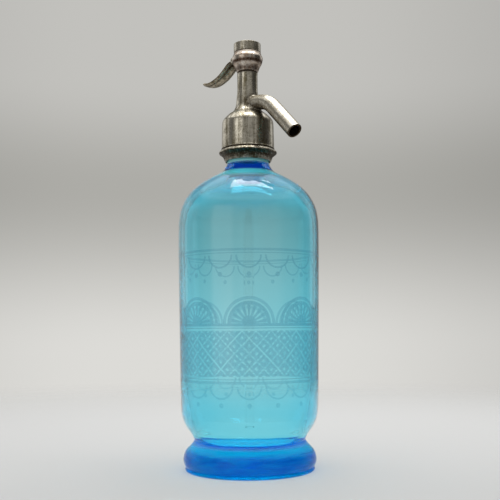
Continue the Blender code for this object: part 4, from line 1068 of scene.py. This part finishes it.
make_bottle()
make_dip_tube()
make_collar("collar_casting_left", SPLIT_ANGLE, "collar_half_left")
make_collar("collar_casting_right", SPLIT_ANGLE + math.pi, "collar_half_right")
make_head()
make_spout()
make_solder()
make_washer("seam_washer_leather", COLUMN_RADIUS - SEAM_INSET, SEAM_BORE, SEAM_FOOT, "seam_washer")
make_housing()
make_washer("cap_washer_leather", CAP_RADIUS - CAP_WASHER_INSET, THREAD_RADIUS, CAP_WASHER_FOOT, "cap_washer")
make_cap()
make_spring()
make_screw()
make_lever()

# What the metal hides keeps its CAD solid
for material, *nodes in (
        (TURNED_BRASS, "tube_nut", "washer_cup", "washer_screw", "valve_rod", "crosshead", "lock_nut",
         "packing_nut"),
        (RUBBER, "neck_gasket", "tube_gasket", "valve_washer"),
        (LEATHER, "rod_packing"),
        (STONEWARE, "valve_seat")):
    for node in nodes:
        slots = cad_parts[node].data.materials
        slots.clear()
        slots.append(material)


# ---- floor, light and camera ----

FLOOR_HALF = 1600.0
FLOOR_DROP = 0.02
FLOOR_FADE = (0.3, 0.95)  # in metres from the axis


def make_floor():
    """The table: pale and matt near the siphon, and faded out between its two radii, where the backdrop's
    own colour takes over."""
    side = np.linspace(-FLOOR_HALF, FLOOR_HALF, 33)
    x, y = np.meshgrid(side, side)
    floor = skin("table_top", (np.stack([x, y, np.full_like(x, -FLOOR_DROP)], -1), False, False))
    material, tree, out = blank("matt_white_table")
    place = add(tree, "TexCoord").outputs["Object"]
    reach = add(tree, "VectorMath", {0: place}, operation="LENGTH").outputs["Value"]
    fade = add(tree, "MapRange", {"Value": reach, "From Min": FLOOR_FADE[0], "From Max": FLOOR_FADE[1]},
               interpolation_type="SMOOTHSTEP")
    matt = add(tree, "BsdfPrincipled", {"Base Color": paint("#c9cacb"), "Roughness": 0.75,
                                        "Specular IOR Level": 0.3})
    gone = add(tree, "BsdfTransparent")
    mixed = add(tree, "MixShader", {0: fade.outputs[0], 1: matt.outputs[0], 2: gone.outputs[0]})
    tree.links.new(mixed.outputs[0], out.inputs["Surface"])
    floor.data.materials.append(material)
    # the grid is open, so its faces are set to look up
    if floor.data.polygons[0].normal.z < 0:
        floor.data.flip_normals()


# The backdrop's greys: the shares of the way up between which each takes over from the one before. They
# darken to either side of ASIDE_MIDDLE, from full at the first place of ASIDE to its last number at the
# second. These places are shares of the way right.
GREY_START = "#d4d4d2"
GREYS = ((-0.16, -0.06, "#dcdbd7"), (-0.03, 0.17, "#adaca7"), (0.175, 0.3, "#c2c1bd"),
         (0.45, 0.85, "#a3a19c"))
ASIDE_MIDDLE = -0.05
ASIDE = (0.12, 0.5, 0.78)
# The walls round the siphon: degrees to the camera's right between which each begins, and how pale it is.
# Then the share of the way up between which the dark upper wall and the pale ceiling begin.
WALL_START = 0.48
WALLS = ((-98, -87, 0.13), (-66, -56, 0.9), (-31, -20, 0.29), (46, 62, 0.05), (104, 118, 0.27))
HEIGHTS = ((0.42, 0.5, 0.2), (0.58, 0.74, 1.0))


def make_backdrop():
    """The studio round the siphon as the world's colour. Where it is seen, also through glass, its height
    gives the backdrop's grey, a little darker to either side. What lights the siphon and lies in its metal
    is dark in front and beside it, with a pale wall to the left of the camera, and pale beyond it and
    overhead."""
    world = bpy.data.worlds.new("studio")
    bpy.context.scene.world = world
    world.use_nodes = True
    tree = world.node_tree
    tree.nodes.clear()
    way = add(tree, "TexCoord").outputs["Generated"]
    z = add(tree, "SeparateXYZ", {0: way}).outputs[2]
    seen = paint(GREY_START)
    for low, high, code in GREYS:
        step = add(tree, "MapRange", {"Value": z, "From Min": low, "From Max": high},
                   interpolation_type="SMOOTHSTEP").outputs[0]
        seen = add(tree, "Mix", {FACTOR: step, FIRST: seen, SECOND: paint(code)},
                   data_type="RGBA").outputs[MIXED]
    sine, cosine = math.sin(VIEW_AZIMUTH), math.cos(VIEW_AZIMUTH)
    right, back = (add(tree, "VectorMath", {0: way, 1: line}, operation="DOT_PRODUCT").outputs["Value"]
                   for line in ((cosine, sine, 0), (sine, -cosine, 0)))
    aside = add(tree, "Math", {0: right, 1: ASIDE_MIDDLE}, operation="SUBTRACT").outputs[0]
    aside = add(tree, "Math", {0: aside}, operation="ABSOLUTE").outputs[0]
    start, end, least = ASIDE
    aside = add(tree, "MapRange", {"Value": aside, "From Min": start, "From Max": end, "To Min": 1.0,
                                   "To Max": least}, interpolation_type="SMOOTHSTEP").outputs[0]
    turn = add(tree, "Math", {0: right, 1: back}, operation="ARCTAN2").outputs[0]
    level = WALL_START
    turns = [(turn, math.radians(low), math.radians(high), share) for low, high, share in WALLS]
    for value, low, high, share in turns + [(z, *row) for row in HEIGHTS]:
        level = add(tree, "MapRange", {"Value": value, "From Min": low, "From Max": high, "To Min": level,
                                       "To Max": share}, interpolation_type="SMOOTHSTEP").outputs[0]
    seen, lit = (add(tree, "Mix", {FACTOR: 1.0, FIRST: shade, SECOND: share}, data_type="RGBA",
                     blend_type="MULTIPLY").outputs[MIXED]
                 for shade, share in ((seen, aside), (paint("#fffdf8"), level)))
    path = add(tree, "LightPath").outputs
    shown = add(tree, "Math", {0: path["Is Camera Ray"], 1: path["Is Transmission Ray"]}, operation="MAXIMUM")
    colour = add(tree, "Mix", {FACTOR: shown.outputs[0], FIRST: lit, SECOND: seen}, data_type="RGBA")
    sky = add(tree, "Background", {"Color": colour.outputs[MIXED]})
    tree.links.new(sky.outputs[0], add(tree, "OutputWorld").inputs["Surface"])


def make_lamp(name, place, facing, width, length, power):
    """A soft rectangular lamp. place and facing are (to the camera's right, away from the camera, up), with
    lengths in metres and power in watts."""
    lamp = bpy.data.lights.new(name, "AREA")
    lamp.shape = "RECTANGLE"
    lamp.size, lamp.size_y = width, length
    lamp.energy = power
    turn = Matrix.Rotation(VIEW_AZIMUTH, 4, "Z")
    holder = bpy.data.objects.new(name, lamp)
    holder.matrix_world = (turn @ Matrix.Translation(Vector(place))
                           @ Vector(facing).to_track_quat("-Z", "Y").to_matrix().to_4x4())
    bpy.context.scene.collection.objects.link(holder)


def make_camera():
    """The camera where the photograph was taken from."""
    camera = bpy.data.cameras.new("camera")
    camera.sensor_width = FILM_WIDTH
    camera.lens = VIEW_LENS
    camera.clip_start, camera.clip_end = 0.01, 20.0
    holder = bpy.data.objects.new("camera", camera)
    bpy.context.scene.collection.objects.link(holder)
    turn = Matrix.Rotation(VIEW_AZIMUTH, 4, "Z")
    place = turn @ Vector((0, -VIEW_DISTANCE, VIEW_HEIGHT))
    aim = (turn @ Matrix.Rotation(VIEW_PAN, 4, "Z") @ Matrix.Rotation(math.pi / 2 + VIEW_TILT, 4, "X")
           @ Matrix.Rotation(VIEW_ROLL, 4, "Z"))
    holder.matrix_world = Matrix.Translation(place) @ aim
    bpy.context.scene.camera = holder


make_floor()
make_backdrop()
make_lamp("overhead_box", (0.05, 0.16, 0.97), (0, 0.689, -0.725), 0.5, 0.73, 7.0)
make_lamp("left_strip", (-0.73, 0.53, 0.62), (0.81, -0.59, 0), 0.33, 1.0, 0.35)
make_lamp("right_strip", (0.73, 0.53, 0.62), (-0.81, -0.59, 0), 0.33, 1.0, 0.35)
make_camera()
bpy.context.scene.view_settings.view_transform = "Standard"
